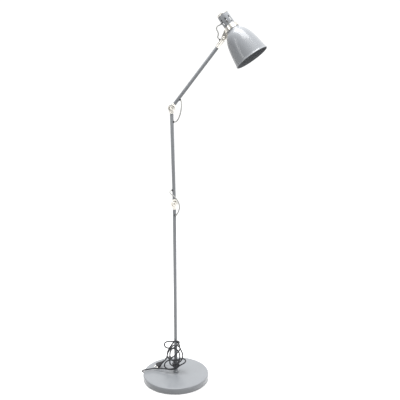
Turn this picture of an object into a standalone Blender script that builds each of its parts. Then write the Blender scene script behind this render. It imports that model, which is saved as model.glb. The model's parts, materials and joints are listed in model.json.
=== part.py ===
"""A pharmacy floor lamp: a weighted round base, a two-part pole, an arm and a bell shade.

Metres, +Z up. The origin is on the floor under the pole. The pole, the arm and the shade's axis
lie in the XZ plane, the arm leans towards +X, and every hinge axis runs along Y. Each clamped
joint has its bolt head on the -Y side and its wing knob on the +Y side, and the mains lead goes
round each joint in a short free loop between two grommets.
"""

import math

import bmesh
import bpy
from mathutils import Matrix, Vector

GAP = 0.0003  # clearance between neighbours that touch on the real lamp

# Base
BASE_R = 0.150
BASE_H = 0.030  # top of the straight wall
BASE_CROWN = 0.034  # top of the cover at the pole
COVER_WALL = 0.0015
PAD_R = 0.138
PAD_H = 0.002
PLATE_H = 0.002
WEIGHT_R = 0.136
WEIGHT_TOP = 0.0235
NUT_RECESS_R = 0.0165
NUT_RECESS_TOP = 0.0125
LEAD_Z = 0.0175  # height of the lead inside the base
GLAND_Z = 0.0150
GLAND_ANGLE = math.radians(120)  # where the gland leaves the rim, from +X towards +Y
GLAND_LENGTH = 0.024
PLATE_SCREW_R = 0.110
PLATE_SCREWS = 3
PLATE_SCREW_ANGLE = math.radians(62)  # the first screw, from +X towards +Y

# Pole and arm
TUBE_R = 0.0075
TUBE_BORE = 0.0063
ELBOW_Z = 0.830
UPPER_LENGTH = 0.4145  # elbow axis to shoulder axis
ARM_LENGTH = 0.367  # shoulder axis to head axis
UPPER_LEAN = math.radians(-1.25)  # from vertical towards +X
ARM_LEAN = math.radians(39.3)
HEAD_LEAN = math.radians(-36.6)  # turn of the head about its hinge from hanging straight down

# Clamped joints
DISC_R = 0.0135
DISC_INNER = 0.0008  # parting plane to the disc's inner face
DISC_OUTER = 0.0090
FERRULE_R = 0.0095
FERRULE_START = 0.0142
FERRULE_END = 0.0230
SOCKET_START = 0.0165
WASHER_T = 0.0010
BOLT_R = 0.0030
BOLT_BORE = BOLT_R + GAP
BOLT_HEAD_R = 0.0055
CUP_R = 0.0082
CUP_DEPTH = 0.0030
KNOB_HUB = 0.0075  # hub length
WING_REACH = 0.0150
WING_RISE = 0.0120
WING_T = 0.0028

# Head joint
TONGUE_R = 0.0090
TONGUE_HALF = 0.0080
TONGUE_NECK = 0.0065
LEG_INNER = 0.0096
LEG_OUTER = 0.0118
LEG_DISC_R = 0.0100
HEAD_FERRULE_R = 0.0093
HEAD_FERRULE = (0.0115, 0.0480)  # start and end, down the arm from the head's hinge
HEAD_SOCKET = 0.0340

# Head, measured along its axis upwards from a plane just inside the rim
PIVOT_OFFSET = 0.0446  # head hinge to the head's axis
PIVOT_UP = 0.127
SHADE_WALL = 0.0012
RIM_R = 0.0706
RIM_Z = -0.0048  # lowest point of the rim
BEAD_R = 0.0014
BELL_TOP = Vector((0.0310, 0.1235))
BELL_HANDLES = (Vector((0.0630, 0.0480)), Vector((0.0580, 0.1040)))
NECK_LOW = Vector((0.0298, 0.1260))
NECK_TOP = Vector((0.0233, 0.1545))
HOUSING_R = 0.0236
HOUSING_TOP = 0.2010
SPIGOT_LOW = 0.1470  # lower end of the housing's spigot inside the neck
SLOTS = 8
SLOT_W = 0.0048
SLOT_LOW = 0.1570
SLOT_HIGH = 0.1855
SLOT_TURN = math.radians(12)  # the first slot, from +X towards +Y
CAP_TOP = 0.2108
STRAP_LOW = 0.1330
STRAP_HIGH = 0.1510
STRAP_T = 0.0020
HOLDER_R = 0.0190
HOLDER_LOW = 0.1240
HOLDER_TOP = 0.1700
BULB_R = 0.0300
BULB_CENTRE = 0.0760
BULB_WALL = 0.0010
CAP_SHELL_R = 0.0130
CAP_WALL = 0.0008
BUTTON_R = 0.0060

# Leads
LEAD_R = 0.0025
GROMMET_R = 0.0050
GROMMET_HOLE = 0.0042
CORD_R = 0.0030
CORD_TURN = math.radians(20)  # the mains cord is laid out in a frame turned about the pole

STUB = 0.0040  # straight stretch of a lead outside each grommet

# Where each joint's loop enters its tubes: distance from the joint's axis, angle round the tube
ELBOW_LOOP_UP = (0.0620, math.radians(-135))
ELBOW_LOOP_DOWN = (0.0480, math.radians(-45))
SHOULDER_LOOP_UP = (0.0520, 0.0)
SHOULDER_LOOP_DOWN = (0.0580, 0.0)
HEAD_LOOP_UP = (0.1790, math.radians(169.5))  # height along the head, on the housing
HEAD_LOOP_DOWN = (0.0190, math.pi)

# Mains cord. Its points are given in a frame turned by CORD_TURN about the pole.
TAIL_ROUTE = [
    (-0.0330, 0.1830, 0.0138),
    (-0.0400, 0.1905, 0.0100),
    (-0.0510, 0.1895, 0.0062),
    (-0.0620, 0.1800, 0.0040),
    (-0.0715, 0.1655, 0.0033),
    (-0.0810, 0.1490, 0.0033),
    (-0.0925, 0.1315, 0.0033),
    (-0.1060, 0.1150, 0.0033),
    (-0.1210, 0.0980, 0.0033),
    (-0.1340, 0.0790, 0.0033),
    (-0.1445, 0.0580, 0.0040),
    (-0.1510, 0.0410, 0.0085),
    (-0.1552, 0.0265, 0.0165),
    (-0.1568, 0.0145, 0.0260),
    (-0.1545, 0.0065, 0.0345),
    (-0.1470, 0.0035, 0.0390),
    (-0.1360, 0.0050, 0.0402),
    (-0.1240, 0.0085, 0.0407),
    (-0.1110, 0.0110, 0.0415),
    (-0.0960, 0.0100, 0.0432),
    (-0.0810, 0.0060, 0.0453),
    (-0.0660, 0.0010, 0.0475),
    (-0.0520, -0.0050, 0.0493),
    (-0.0400, -0.0080, 0.0505),
    (-0.0328, -0.0070, 0.0508),
]
BUNDLE_PROFILE = [  # radius, height
    (0.0160, 0.0425),
    (0.0320, 0.0500),
    (0.0390, 0.0750),
    (0.0310, 0.1100),
    (0.0230, 0.1400),
    (0.0210, 0.1650),
    (0.0140, 0.1860),
]
BUNDLE_INNER = 0.0080
PLUG_FACE = Vector((-0.0893, 0.0340, 0.0430))
PLUG_BACK = Vector((-0.0575, 0.0530, 0.0590))
PLUG_ROLL = math.radians(37)
PLUG_SECTIONS = [  # distance from the face, half width, half thickness
    (0.0000, 0.0120, 0.0062),
    (0.0015, 0.0130, 0.0070),
    (0.0075, 0.0130, 0.0072),
    (0.0160, 0.0106, 0.0067),
    (0.0240, 0.0070, 0.0057),
    (0.0310, 0.0050, 0.0048),
    (0.0400, 0.0040, 0.0040),
]
PIN_R = 0.0020
PIN_SPREAD = 0.0060
PIN_OUT = 0.0150
PIN_IN = 0.0040
END_ROUTE = [  # from the bundle to the plug
    (-0.0227, 0.0138, 0.1281),
    (-0.0265, 0.0161, 0.1293),
    (-0.0345, 0.0200, 0.1265),
    (-0.0394, 0.0240, 0.1167),
    (-0.0412, 0.0340, 0.1032),
    (-0.0425, 0.0440, 0.0908),
    (-0.0446, 0.0520, 0.0794),
    (-0.0475, 0.0570, 0.0697),
    (-0.0513, 0.0567, 0.0622),
]

# The joints' frames: each has its origin on its hinge and Z up its own tube or shade
UPPER = Matrix.Translation((0, 0, ELBOW_Z)) @ Matrix.Rotation(UPPER_LEAN, 4, "Y")
ARM = Matrix.Translation(UPPER @ Vector((0, 0, UPPER_LENGTH))) @ Matrix.Rotation(ARM_LEAN, 4, "Y")
HEAD = Matrix.Translation(ARM @ Vector((0, 0, ARM_LENGTH))) @ Matrix.Rotation(HEAD_LEAN, 4, "Y")
RIM = HEAD @ Matrix.Translation((PIVOT_OFFSET, 0, -PIVOT_UP))

COLOURS = {  # base colour, roughness, metallic
    "paint": ((0.46, 0.48, 0.50), 0.35, 0.0),
    "nickel": ((0.72, 0.70, 0.66), 0.22, 1.0),
    "steel": ((0.50, 0.50, 0.50), 0.40, 1.0),
    "iron": ((0.12, 0.12, 0.13), 0.70, 0.4),
    "foam": ((0.03, 0.03, 0.03), 0.95, 0.0),
    "fibre": ((0.10, 0.08, 0.07), 0.80, 0.0),
    "rubber": ((0.02, 0.02, 0.02), 0.60, 0.0),
    "cord": ((0.03, 0.03, 0.035), 0.50, 0.0),
    "lead": ((0.60, 0.60, 0.58), 0.50, 0.0),
    "ceramic": ((0.85, 0.84, 0.80), 0.30, 0.0),
    "brass": ((0.75, 0.60, 0.32), 0.30, 1.0),
    "glass": ((0.92, 0.92, 0.90), 0.15, 0.0),
}


# ---------------------------------------------------------------- helpers


def clear_scene():
    for obj in list(bpy.context.scene.objects):
        bpy.data.objects.remove(obj, do_unlink=True)


def material(kind, node):
    """Each sub-part gets a material of its own, from its kind's colour and finish."""
    colour, roughness, metallic = COLOURS[kind]
    mat = bpy.data.materials.new(node)
    mat.use_nodes = True
    shader = mat.node_tree.nodes["Principled BSDF"]
    shader.inputs["Base Color"].default_value = (*colour, 1.0)
    shader.inputs["Roughness"].default_value = roughness
    shader.inputs["Metallic"].default_value = metallic
    return mat


def place(obj, parent=None, location=(0, 0, 0), rotation=(0, 0, 0)):
    bpy.context.scene.collection.objects.link(obj)
    obj.parent = parent
    obj.location = location
    obj.rotation_euler = rotation
    return obj


def frame(name, matrix):
    empty = place(bpy.data.objects.new(name, None))
    empty.matrix_world = matrix
    return empty


def solid(name, bm, kind, parent=None, location=(0, 0, 0), rotation=(0, 0, 0)):
    """Turns a bmesh into a placed object, smooth but for its sharp edges."""
    bmesh.ops.recalc_face_normals(bm, faces=bm.faces)
    mesh = bpy.data.meshes.new(name)
    bm.to_mesh(mesh)
    bm.free()
    mesh.shade_smooth()
    mesh.set_sharp_from_angle(angle=math.radians(35))
    if kind:
        mesh.materials.append(material(kind, name))
    return place(bpy.data.objects.new(name, mesh), parent, location, rotation)


def revolve(profile, segments=24):
    """A turned shape about Z from (radius, height) points.

    A profile that starts and ends on the axis is closed by its poles. Any other profile is a
    closed loop and makes a ring.
    """
    bm = bmesh.new()
    rings = []
    for radius, height in profile:
        if radius < 1e-7:
            rings.append([bm.verts.new((0, 0, height))])
            continue
        ring = []
        for i in range(segments):
            angle = 2 * math.pi * i / segments
            ring.append(bm.verts.new((radius * math.cos(angle), radius * math.sin(angle), height)))
        rings.append(ring)
    pairs = list(zip(rings, rings[1:]))
    if len(rings[0]) > 1:
        pairs.append((rings[-1], rings[0]))
    for low, high in pairs:
        for i in range(segments):
            corners = [low[i % len(low)], low[(i + 1) % len(low)]]
            corners += [high[(i + 1) % len(high)], high[i % len(high)]]
            unique = list(dict.fromkeys(corners))
            if len(unique) > 2:
                bm.faces.new(unique)
    return bm


def ring(inner, outer, low, high, segments=24):
    return revolve([(inner, low), (outer, low), (outer, high), (inner, high)], segments)


def rod(radius, low, high, segments=20):
    return revolve([(0, low), (radius, low), (radius, high), (0, high)], segments)


def extrude(outline, low, high):
    """A plate with an outline in X and Z, and faces at Y low and Y high."""
    bm = bmesh.new()
    face = bm.faces.new([bm.verts.new((x, low, z)) for x, z in outline])
    made = bmesh.ops.extrude_face_region(bm, geom=[face])
    moved = [item for item in made["geom"] if isinstance(item, bmesh.types.BMVert)]
    bmesh.ops.translate(bm, verts=moved, vec=(0, high - low, 0))
    return bm


def arc(centre, radius, start, end, steps):
    """Points on a circle in X and Z, angles in degrees from +X towards +Z."""
    points = []
    for i in range(steps + 1):
        angle = math.radians(start + (end - start) * i / steps)
        points.append((centre[0] + radius * math.cos(angle), centre[1] + radius * math.sin(angle)))
    return points


def hide(tool):
    tool.hide_render = True
    tool.display_type = "WIRE"
    return tool


def boolean(obj, tool, operation):
    modifier = obj.modifiers.new(tool.name, "BOOLEAN")
    modifier.operation = operation
    modifier.solver = "EXACT"
    modifier.object = hide(tool)


def soften(obj, width=0.0006, segments=1):
    """Breaks the sharp edges of a machined piece."""
    bevel = obj.modifiers.new("edges", "BEVEL")
    bevel.width = width
    bevel.segments = segments
    bevel.limit_method = "ANGLE"
    bevel.angle_limit = math.radians(50)


def smooth_path(points, spacing):
    """Points about a spacing apart on a Catmull-Rom curve.

    The curve runs from the second point to the last but one. The first and last points are
    joined to it by straight lines, and steer its ends.
    """
    route = [Vector(p) for p in points]
    path = route[:2]
    for before, start, end, after in zip(route, route[1:], route[2:], route[3:]):
        steps = max(1, round((end - start).length / spacing))
        bend = 2 * before - 5 * start + 4 * end - after
        turn = 3 * start - before - 3 * end + after
        for i in range(1, steps + 1):
            t = i / steps
            path.append(start + 0.5 * ((end - before) * t + bend * t**2 + turn * t**3))
    return path + route[-1:]


def tube(name, path, radius, kind, parent=None):
    """A round lead along a path, with closed ends."""
    curve = bpy.data.curves.new(name, "CURVE")
    curve.dimensions = "3D"
    curve.bevel_depth = radius
    curve.bevel_resolution = 2
    curve.use_fill_caps = True
    spline = curve.splines.new("POLY")
    spline.points.add(len(path) - 1)
    for point, place_at in zip(spline.points, path):
        point.co = (*place_at, 1)
    curve.materials.append(material(kind, name))
    return place(bpy.data.objects.new(name, curve), parent)


# ---------------------------------------------------------------- shared pieces

ALONG_Y = (-math.pi / 2, 0, 0)  # turns a Z axis to +Y


def outward(angle):
    """Turns a Z axis to horizontal, at an angle from +X towards +Y."""
    return (0, math.pi / 2, angle)


def pole_tube(name, low, high, holes, parent=None):
    """A tube along Z with a round hole in its wall at each (height, angle)."""
    obj = solid(name, ring(TUBE_BORE, TUBE_R, low, high), "paint", parent)
    for number, (height, angle) in enumerate(holes):
        cutter = solid(f"{name}_hole_{number}", rod(GROMMET_HOLE, 0, 2 * TUBE_R, 16), None, parent,
                       (0, 0, height), outward(angle))
        boolean(obj, cutter, "DIFFERENCE")
    return obj


def grommet(name, height, angle, parent=None, surface=TUBE_R):
    """A rubber ring with a flange outside and a waist through the wall."""
    bore = LEAD_R + GAP
    waist = GROMMET_HOLE - GAP
    profile = [
        (bore, surface - 0.0020),
        (waist, surface - 0.0020),
        (waist, surface + GAP),
        (GROMMET_R, surface + GAP),
        (GROMMET_R - 0.0006, surface + 0.0026),
        (bore, surface + 0.0034),
    ]
    return solid(name, revolve(profile, 16), "rubber", parent, (0, 0, height), outward(angle))


def half_knuckle(name, side, way, parent=None, at=0.0):
    """One half of a clamped joint: a disc on one side of the parting plane, and its ferrule.

    side is -1 for the half with the bolt head's cup, or 1. way is the tube's direction on Z.
    """
    neck = math.degrees(math.asin(FERRULE_R / DISC_R))
    outline = arc((0, 0), DISC_R, -90 + neck, 270 - neck, 20)
    outline += [(-FERRULE_R, -SOCKET_START + 0.0008), (FERRULE_R, -SOCKET_START + 0.0008)]
    outline = [(x, -way * z) for x, z in outline]
    low, high = sorted((side * DISC_INNER, side * DISC_OUTER))
    obj = solid(name, extrude(outline, low, high), "nickel", parent, (0, 0, at))
    soften(obj)
    profile = [
        (0, FERRULE_START),
        (FERRULE_R - 0.0008, FERRULE_START),
        (FERRULE_R, FERRULE_START + 0.0008),
        (FERRULE_R, FERRULE_END - 0.0012),
        (FERRULE_R - 0.0008, FERRULE_END),
        (TUBE_R + GAP, FERRULE_END),
        (TUBE_R + GAP, SOCKET_START),
        (0, SOCKET_START),
    ]
    profile = [(radius, way * height) for radius, height in profile]
    collar = solid(f"{name}_collar", revolve(profile, 24), None, parent, (0, 0, at))
    boolean(obj, collar, "UNION")
    bore = solid(f"{name}_bore", rod(BOLT_BORE, -0.02, 0.02, 16), None, parent, (0, 0, at), ALONG_Y)
    boolean(obj, bore, "DIFFERENCE")
    if side < 0:
        cup = ring(BOLT_BORE / 2, CUP_R, -0.02, CUP_DEPTH - DISC_OUTER, 20)
        cup_tool = solid(f"{name}_cup", cup, None, parent, (0, 0, at), ALONG_Y)
        boolean(obj, cup_tool, "DIFFERENCE")
    return obj


def bolt(name, face, end, parent):
    """A domed clamp bolt along Y whose head bears on the face at Y = face."""
    seat = face - GAP
    profile = [
        (0, end),
        (BOLT_R, end),
        (BOLT_R, seat),
        (BOLT_HEAD_R, seat),
        (BOLT_HEAD_R, seat - 0.0022),
        (BOLT_HEAD_R - 0.0012, seat - 0.0036),
        (0, seat - 0.0043),
    ]
    return solid(name, revolve(profile, 20), "nickel", parent, rotation=ALONG_Y)


def wing_knob(name, face, parent):
    """A cast wing knob on a clamp bolt. It turns about its own Z axis, along the bolt."""
    profile = [
        (BOLT_BORE, 0),
        (0.0068, 0),
        (0.0068, 0.0015),
        (0.0056, KNOB_HUB),
        (0.0042, KNOB_HUB + 0.0016),
        (0, KNOB_HUB + 0.0020),
        (0, KNOB_HUB - 0.0006),
        (BOLT_BORE, KNOB_HUB - 0.0006),
    ]
    obj = solid(name, revolve(profile, 20), "nickel", parent, (0, face + GAP, 0), ALONG_Y)
    for side in (-1, 1):
        tip = (WING_REACH - 0.0045, WING_RISE - 0.0010)
        outline = [(0.0038, 0.0022), (0.0085, 0.0030)]
        outline += arc(tip, 0.0045, -40, 130, 10)
        outline += [(0.0038, KNOB_HUB)]
        outline = [(side * x, z) for x, z in outline]
        wing = solid(f"{name}_wing_{side}", extrude(outline, -WING_T / 2, WING_T / 2), None, parent,
                     (0, face + GAP, 0), ALONG_Y)
        boolean(obj, wing, "UNION")
    return obj


def washer(name, low, high, outer, parent):
    bm = ring(BOLT_BORE, outer, low, high, 20)
    return solid(name, bm, "fibre", parent, rotation=ALONG_Y)


# ---------------------------------------------------------------- base and lower pole


def cover_profile():
    """The pressed cover: a straight wall, a rolled shoulder and a slightly domed top."""
    shoulder = 0.0045
    hole = TUBE_R + GAP
    outer = [(BASE_R - 0.0006, PAD_H + GAP), (BASE_R, PAD_H + 0.0015)]
    for height, radius in arc((BASE_H - shoulder, BASE_R - shoulder), shoulder, 90, 0, 4):
        outer.append((radius, height))
    crown = []
    for share in (0.8, 0.5, 0.25):
        rise = (BASE_CROWN - BASE_H) * (1 - share**2)
        crown.append((share * BASE_R, BASE_H + rise))
    outer += crown + [(hole, BASE_CROWN)]
    inner = [(hole, BASE_CROWN - COVER_WALL)]
    inner += [(radius, height - COVER_WALL) for radius, height in reversed(crown)]
    inner += [
        (BASE_R - shoulder, BASE_H - COVER_WALL),
        (BASE_R - COVER_WALL, BASE_H - shoulder),
        (BASE_R - COVER_WALL, PAD_H + GAP),
    ]
    return outer + inner


def make_base():
    solid("base_pad", rod(PAD_R, 0, PAD_H, 48), "foam")
    plate_low = PAD_H + GAP
    plate_high = plate_low + PLATE_H
    plate_r = BASE_R - COVER_WALL - GAP
    plate = solid("base_plate", ring(NUT_RECESS_R, plate_r, plate_low, plate_high, 48), "steel")

    low = plate_high + GAP
    profile = [
        (TUBE_R + GAP, NUT_RECESS_TOP),
        (NUT_RECESS_R, NUT_RECESS_TOP),
        (NUT_RECESS_R, low),
        (WEIGHT_R - 0.002, low),
        (WEIGHT_R, low + 0.002),
        (WEIGHT_R, WEIGHT_TOP - 0.004),
        (WEIGHT_R - 0.004, WEIGHT_TOP),
        (TUBE_R + GAP, WEIGHT_TOP),
    ]
    weight = solid("base_weight", revolve(profile, 36), "iron")
    floor, side = LEAD_Z - 0.0036, 0.0045
    channel = extrude([(0, floor), (0.2, floor), (0.2, 0.04), (0, 0.04)], -side, side)
    tool = solid("lead_channel", channel, None, rotation=(0, 0, GLAND_ANGLE))
    boolean(weight, tool, "DIFFERENCE")

    cover = solid("base_cover", revolve(cover_profile(), 48), "paint")
    hole = rod(0.0060, BASE_R - 0.01, BASE_R + 0.01, 20)
    tool = solid("gland_hole", hole, None, None, (0, 0, GLAND_Z), outward(GLAND_ANGLE))
    boolean(cover, tool, "DIFFERENCE")

    for number in range(PLATE_SCREWS):
        angle = PLATE_SCREW_ANGLE + 2 * math.pi * number / PLATE_SCREWS
        spot = (PLATE_SCREW_R * math.cos(angle), PLATE_SCREW_R * math.sin(angle), 0)
        hole = solid(f"screw_hole_{number}", rod(0.0024, 0, 0.012, 14), None, None, spot)
        boolean(plate, hole, "DIFFERENCE")
        boolean(weight, hole, "DIFFERENCE")
        screw = [(0, 0.0026), (0.0019, 0.0026), (0.0021, 0.0034), (0.0021, 0.0110), (0, 0.0116)]
        solid(f"plate_screw_{number + 1}", revolve(screw, 12), "steel", None, spot)


def make_gland():
    """The tapered strain relief of the mains cord, through the wall of the cover."""
    bore = CORD_R + GAP
    wall = BASE_R - COVER_WALL
    profile = [
        (bore, wall - 0.0045),
        (0.0054, wall - 0.0045),
        (0.0057, wall - 0.0015),
        (0.0057, BASE_R + GAP),
        (0.0078, BASE_R + GAP),
        (0.0078, BASE_R + 0.0025),
        (0.0062, BASE_R + 0.0040),
        (0.0043, BASE_R + GLAND_LENGTH),
        (bore, BASE_R + GLAND_LENGTH),
    ]
    gland = revolve(profile, 20)
    solid("cord_gland", gland, "rubber", None, (0, 0, GLAND_Z), outward(GLAND_ANGLE))


def make_lower_pole():
    loop_z = ELBOW_Z - ELBOW_LOOP_DOWN[0]
    holes = [(LEAD_Z, GLAND_ANGLE), (loop_z, ELBOW_LOOP_DOWN[1])]
    pole_tube("lower_tube", PAD_H + 0.0030, ELBOW_Z - SOCKET_START - GAP, holes)
    nut = solid("pole_nut", rod(0.0127, 0.0052, 0.0105, 6), "steel")
    boolean(nut, solid("nut_bore", rod(TUBE_R + GAP, 0, 0.02, 24), None), "DIFFERENCE")
    solid("pole_washer", ring(TUBE_R + GAP, 0.0150, 0.0108, NUT_RECESS_TOP - GAP), "steel")
    foot = BASE_CROWN + GAP
    collar = [
        (TUBE_R + GAP, foot),
        (0.0130, foot),
        (0.0130, foot + 0.0030),
        (0.0100, foot + 0.0070),
        (TUBE_R + GAP, foot + 0.0076),
    ]
    solid("pole_collar", revolve(collar), "paint")
    grommet("lower_grommet", *holes[1])
    half_knuckle("elbow_lower_knuckle", -1, -1, None, ELBOW_Z)

    away = Vector((math.cos(GLAND_ANGLE), math.sin(GLAND_ANGLE), 0))
    up = Vector((0, 0, 1))
    route = [
        away * (BASE_R - COVER_WALL - 0.0050) + up * GLAND_Z,
        away * 0.1375 + up * (LEAD_Z - 0.0005),
        away * 0.120 + up * LEAD_Z,
        away * 0.018 + up * LEAD_Z,
        away * 0.007 + up * (LEAD_Z + 0.0004),
        away * 0.0018 + up * (LEAD_Z + 0.0040),
        up * (LEAD_Z + 0.0120),
        up * (loop_z - LEAD_R - GAP),
    ]
    tube("base_lead", route, LEAD_R, "lead")


# ---------------------------------------------------------------- upper pole and arm


def make_upper():
    upper = frame("upper_frame", UPPER)
    low, high = ELBOW_LOOP_UP[0], UPPER_LENGTH - SHOULDER_LOOP_DOWN[0]
    holes = [(low, ELBOW_LOOP_UP[1]), (high, SHOULDER_LOOP_DOWN[1])]
    half_knuckle("elbow_upper_knuckle", 1, 1, upper)
    ends = (SOCKET_START + GAP, UPPER_LENGTH - SOCKET_START - GAP)
    pole_tube("upper_tube", *ends, holes, upper)
    half_knuckle("shoulder_lower_knuckle", -1, -1, upper, UPPER_LENGTH)
    grommet("upper_grommet_low", *holes[0], upper)
    grommet("upper_grommet_high", *holes[1], upper)
    reach = LEAD_R + GAP
    tube("upper_lead", [(0, 0, low + reach), (0, 0, high - reach)], LEAD_R, "lead", upper)


def make_arm():
    arm = frame("arm_frame", ARM)
    half_knuckle("shoulder_upper_knuckle", 1, 1, arm)
    pole_tube("arm_tube", SOCKET_START + GAP, ARM_LENGTH - HEAD_SOCKET - GAP, [SHOULDER_LOOP_UP], arm)
    grommet("arm_grommet_low", *SHOULDER_LOOP_UP, arm)
    top = ARM_LENGTH - HEAD_LOOP_DOWN[0]
    grommet("arm_grommet_high", top, HEAD_LOOP_DOWN[1], arm, HEAD_FERRULE_R)
    reach = LEAD_R + GAP
    run = [(0, 0, SHOULDER_LOOP_UP[0] + reach), (0, 0, top - reach)]
    tube("arm_lead", run, LEAD_R, "lead", arm)
    make_head_knuckle(arm)


def make_head_knuckle(arm):
    """The arm's end: a solid tongue for the head's fork, on a long ferrule with a side hole."""
    centre = (0, 0, ARM_LENGTH)
    start, end = HEAD_FERRULE
    neck = math.degrees(math.asin(TONGUE_NECK / TONGUE_R))
    outline = arc((0, 0), TONGUE_R, -90 + neck, 270 - neck, 16)
    outline += [(-TONGUE_NECK, -start - 0.0018), (TONGUE_NECK, -start - 0.0018)]
    obj = solid("head_knuckle", extrude(outline, -TONGUE_HALF, TONGUE_HALF), "nickel", arm, centre)
    soften(obj)
    profile = [
        (0, -start),
        (HEAD_FERRULE_R - 0.001, -start),
        (HEAD_FERRULE_R, -start - 0.001),
        (HEAD_FERRULE_R, -end + 0.0015),
        (HEAD_FERRULE_R - 0.001, -end),
        (TUBE_R + GAP, -end),
        (TUBE_R + GAP, -HEAD_SOCKET),
        (0.0056, -HEAD_SOCKET),
        (0.0056, -start - 0.0030),
        (0, -start - 0.0030),
    ]
    collar = solid("head_knuckle_collar", revolve(profile, 24), None, arm, centre)
    boolean(obj, collar, "UNION")
    bore = solid("head_knuckle_bore", rod(BOLT_BORE, -0.02, 0.02, 20), None, arm, centre, ALONG_Y)
    boolean(obj, bore, "DIFFERENCE")
    down, angle = HEAD_LOOP_DOWN
    hole = solid("head_knuckle_hole", rod(GROMMET_HOLE, 0, 0.02, 16), None, arm,
                 (0, 0, ARM_LENGTH - down), outward(angle))
    boolean(obj, hole, "DIFFERENCE")


# ---------------------------------------------------------------- clamps


def make_clamps():
    """The bolts, washers and wing knobs of the three joints."""
    head_face = DISC_OUTER - CUP_DEPTH
    thread = GAP + KNOB_HUB - 0.0012
    for joint, matrix in (("elbow", UPPER), ("shoulder", ARM)):
        seat = frame(f"{joint}_clamp_frame", matrix)
        bolt(f"{joint}_bolt", -head_face, DISC_OUTER + thread, seat)
        washer(f"{joint}_washer", -WASHER_T / 2, WASHER_T / 2, 0.0115, seat)
        wing_knob(f"{joint}_knob", DISC_OUTER, seat)
    seat = frame("head_clamp_frame", HEAD)
    bolt("head_bolt", -LEG_OUTER, LEG_OUTER + thread, seat)
    for side, name in ((-1, "head_washer_front"), (1, "head_washer_back")):
        low, high = sorted((side * (TONGUE_HALF + GAP), side * (LEG_INNER - GAP)))
        washer(name, low, high, 0.0085, seat)
    wing_knob("head_knob", LEG_OUTER, seat)


# ---------------------------------------------------------------- head


def neck_radius(height):
    """The outside of the shade's conical neck."""
    share = (height - NECK_LOW.y) / (NECK_TOP.y - NECK_LOW.y)
    return NECK_LOW.x + share * (NECK_TOP.x - NECK_LOW.x)


def bell(steps, offset=0.0):
    """The bell's outline from the rim up to the neck, moved inwards by an offset."""
    start = Vector((RIM_R, RIM_Z + 2 * BEAD_R))
    low, high = BELL_HANDLES
    points = []
    for i in range(steps + 1):
        t = i / steps
        u = 1 - t
        point = u**3 * start + 3 * u * u * t * low + 3 * u * t * t * high + t**3 * BELL_TOP
        slope = u * u * (low - start) + 2 * u * t * (high - low) + t * t * (BELL_TOP - high)
        inward = Vector((-slope.y, slope.x)).normalized()
        points.append(tuple(point + offset * inward))
    return points


def make_shade(head):
    """The spun bell and its conical neck, with a bead rolled round the rim."""
    bead = arc((RIM_R, RIM_Z + BEAD_R), BEAD_R, 130, 410, 5)
    outer = bell(8)[1:] + [tuple(NECK_LOW), tuple(NECK_TOP)]
    inner = [
        (NECK_TOP.x - SHADE_WALL, NECK_TOP.y),
        (NECK_LOW.x - SHADE_WALL, NECK_LOW.y),
    ]
    inner += bell(8, SHADE_WALL)[-2:0:-1]
    solid("shade", revolve(bead + outer + inner, 36), "paint", head)


def make_housing(head):
    """The ventilated sleeve over the lampholder, and its plated cap."""
    wall = 0.0012
    seam = NECK_TOP.y + GAP
    spigot = 0.0217
    profile = [
        (spigot - wall, SPIGOT_LOW),
        (spigot, SPIGOT_LOW),
        (spigot, seam),
        (HOUSING_R, seam),
        (HOUSING_R, HOUSING_TOP),
        (HOUSING_R - wall, HOUSING_TOP),
        (HOUSING_R - wall, seam + 0.0013),
        (spigot - wall, seam - 0.0008),
    ]
    housing = solid("socket_housing", revolve(profile, 36), "paint", head)
    half = SLOT_W / 2
    outline = arc((0, SLOT_HIGH - half), half, 0, 180, 4)
    outline += arc((0, SLOT_LOW + half), half, 180, 360, 4)
    for number in range(SLOTS // 2):
        turn = SLOT_TURN + 2 * math.pi / SLOTS * number
        slot = solid(f"slots_{number}", extrude(outline, -0.03, 0.03), None, head,
                     rotation=(0, 0, turn))
        boolean(housing, slot, "DIFFERENCE")
    height, angle = HEAD_LOOP_UP
    hole = solid("lead_hole", rod(GROMMET_HOLE, 0.015, 0.03, 16), None, head, (0, 0, height),
                 outward(angle))
    boolean(housing, hole, "DIFFERENCE")
    grommet("housing_grommet", height, angle, head, HOUSING_R)

    skirt = HOUSING_R - wall - GAP
    cap = [
        (skirt - 0.0011, 0.1970),
        (skirt, 0.1970),
        (skirt, HOUSING_TOP + GAP),
        (0.0241, HOUSING_TOP + GAP),
        (0.0241, 0.2038),
        (0.0226, 0.2072),
        (0.0170, 0.2099),
        (BUTTON_R + 2 * GAP, CAP_TOP),
        (BUTTON_R + 2 * GAP, CAP_TOP - 0.0013),
        (0.0162, 0.2085),
        (0.0205, 0.2060),
        (skirt - 0.0011, 0.2030),
    ]
    solid("rear_cap", revolve(cap, 32), "nickel", head)
    solid("switch_body", rod(0.0090, 0.1885, 0.1990), "rubber", head)
    button = [
        (0, 0.2025),
        (0.0080, 0.2025),
        (0.0080, 0.2045),
        (BUTTON_R, 0.2050),
        (BUTTON_R, CAP_TOP + 0.0020),
        (BUTTON_R - 0.0012, CAP_TOP + 0.0028),
        (0, CAP_TOP + 0.0032),
    ]
    solid("switch_button", revolve(button, 24), "rubber", head)


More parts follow.
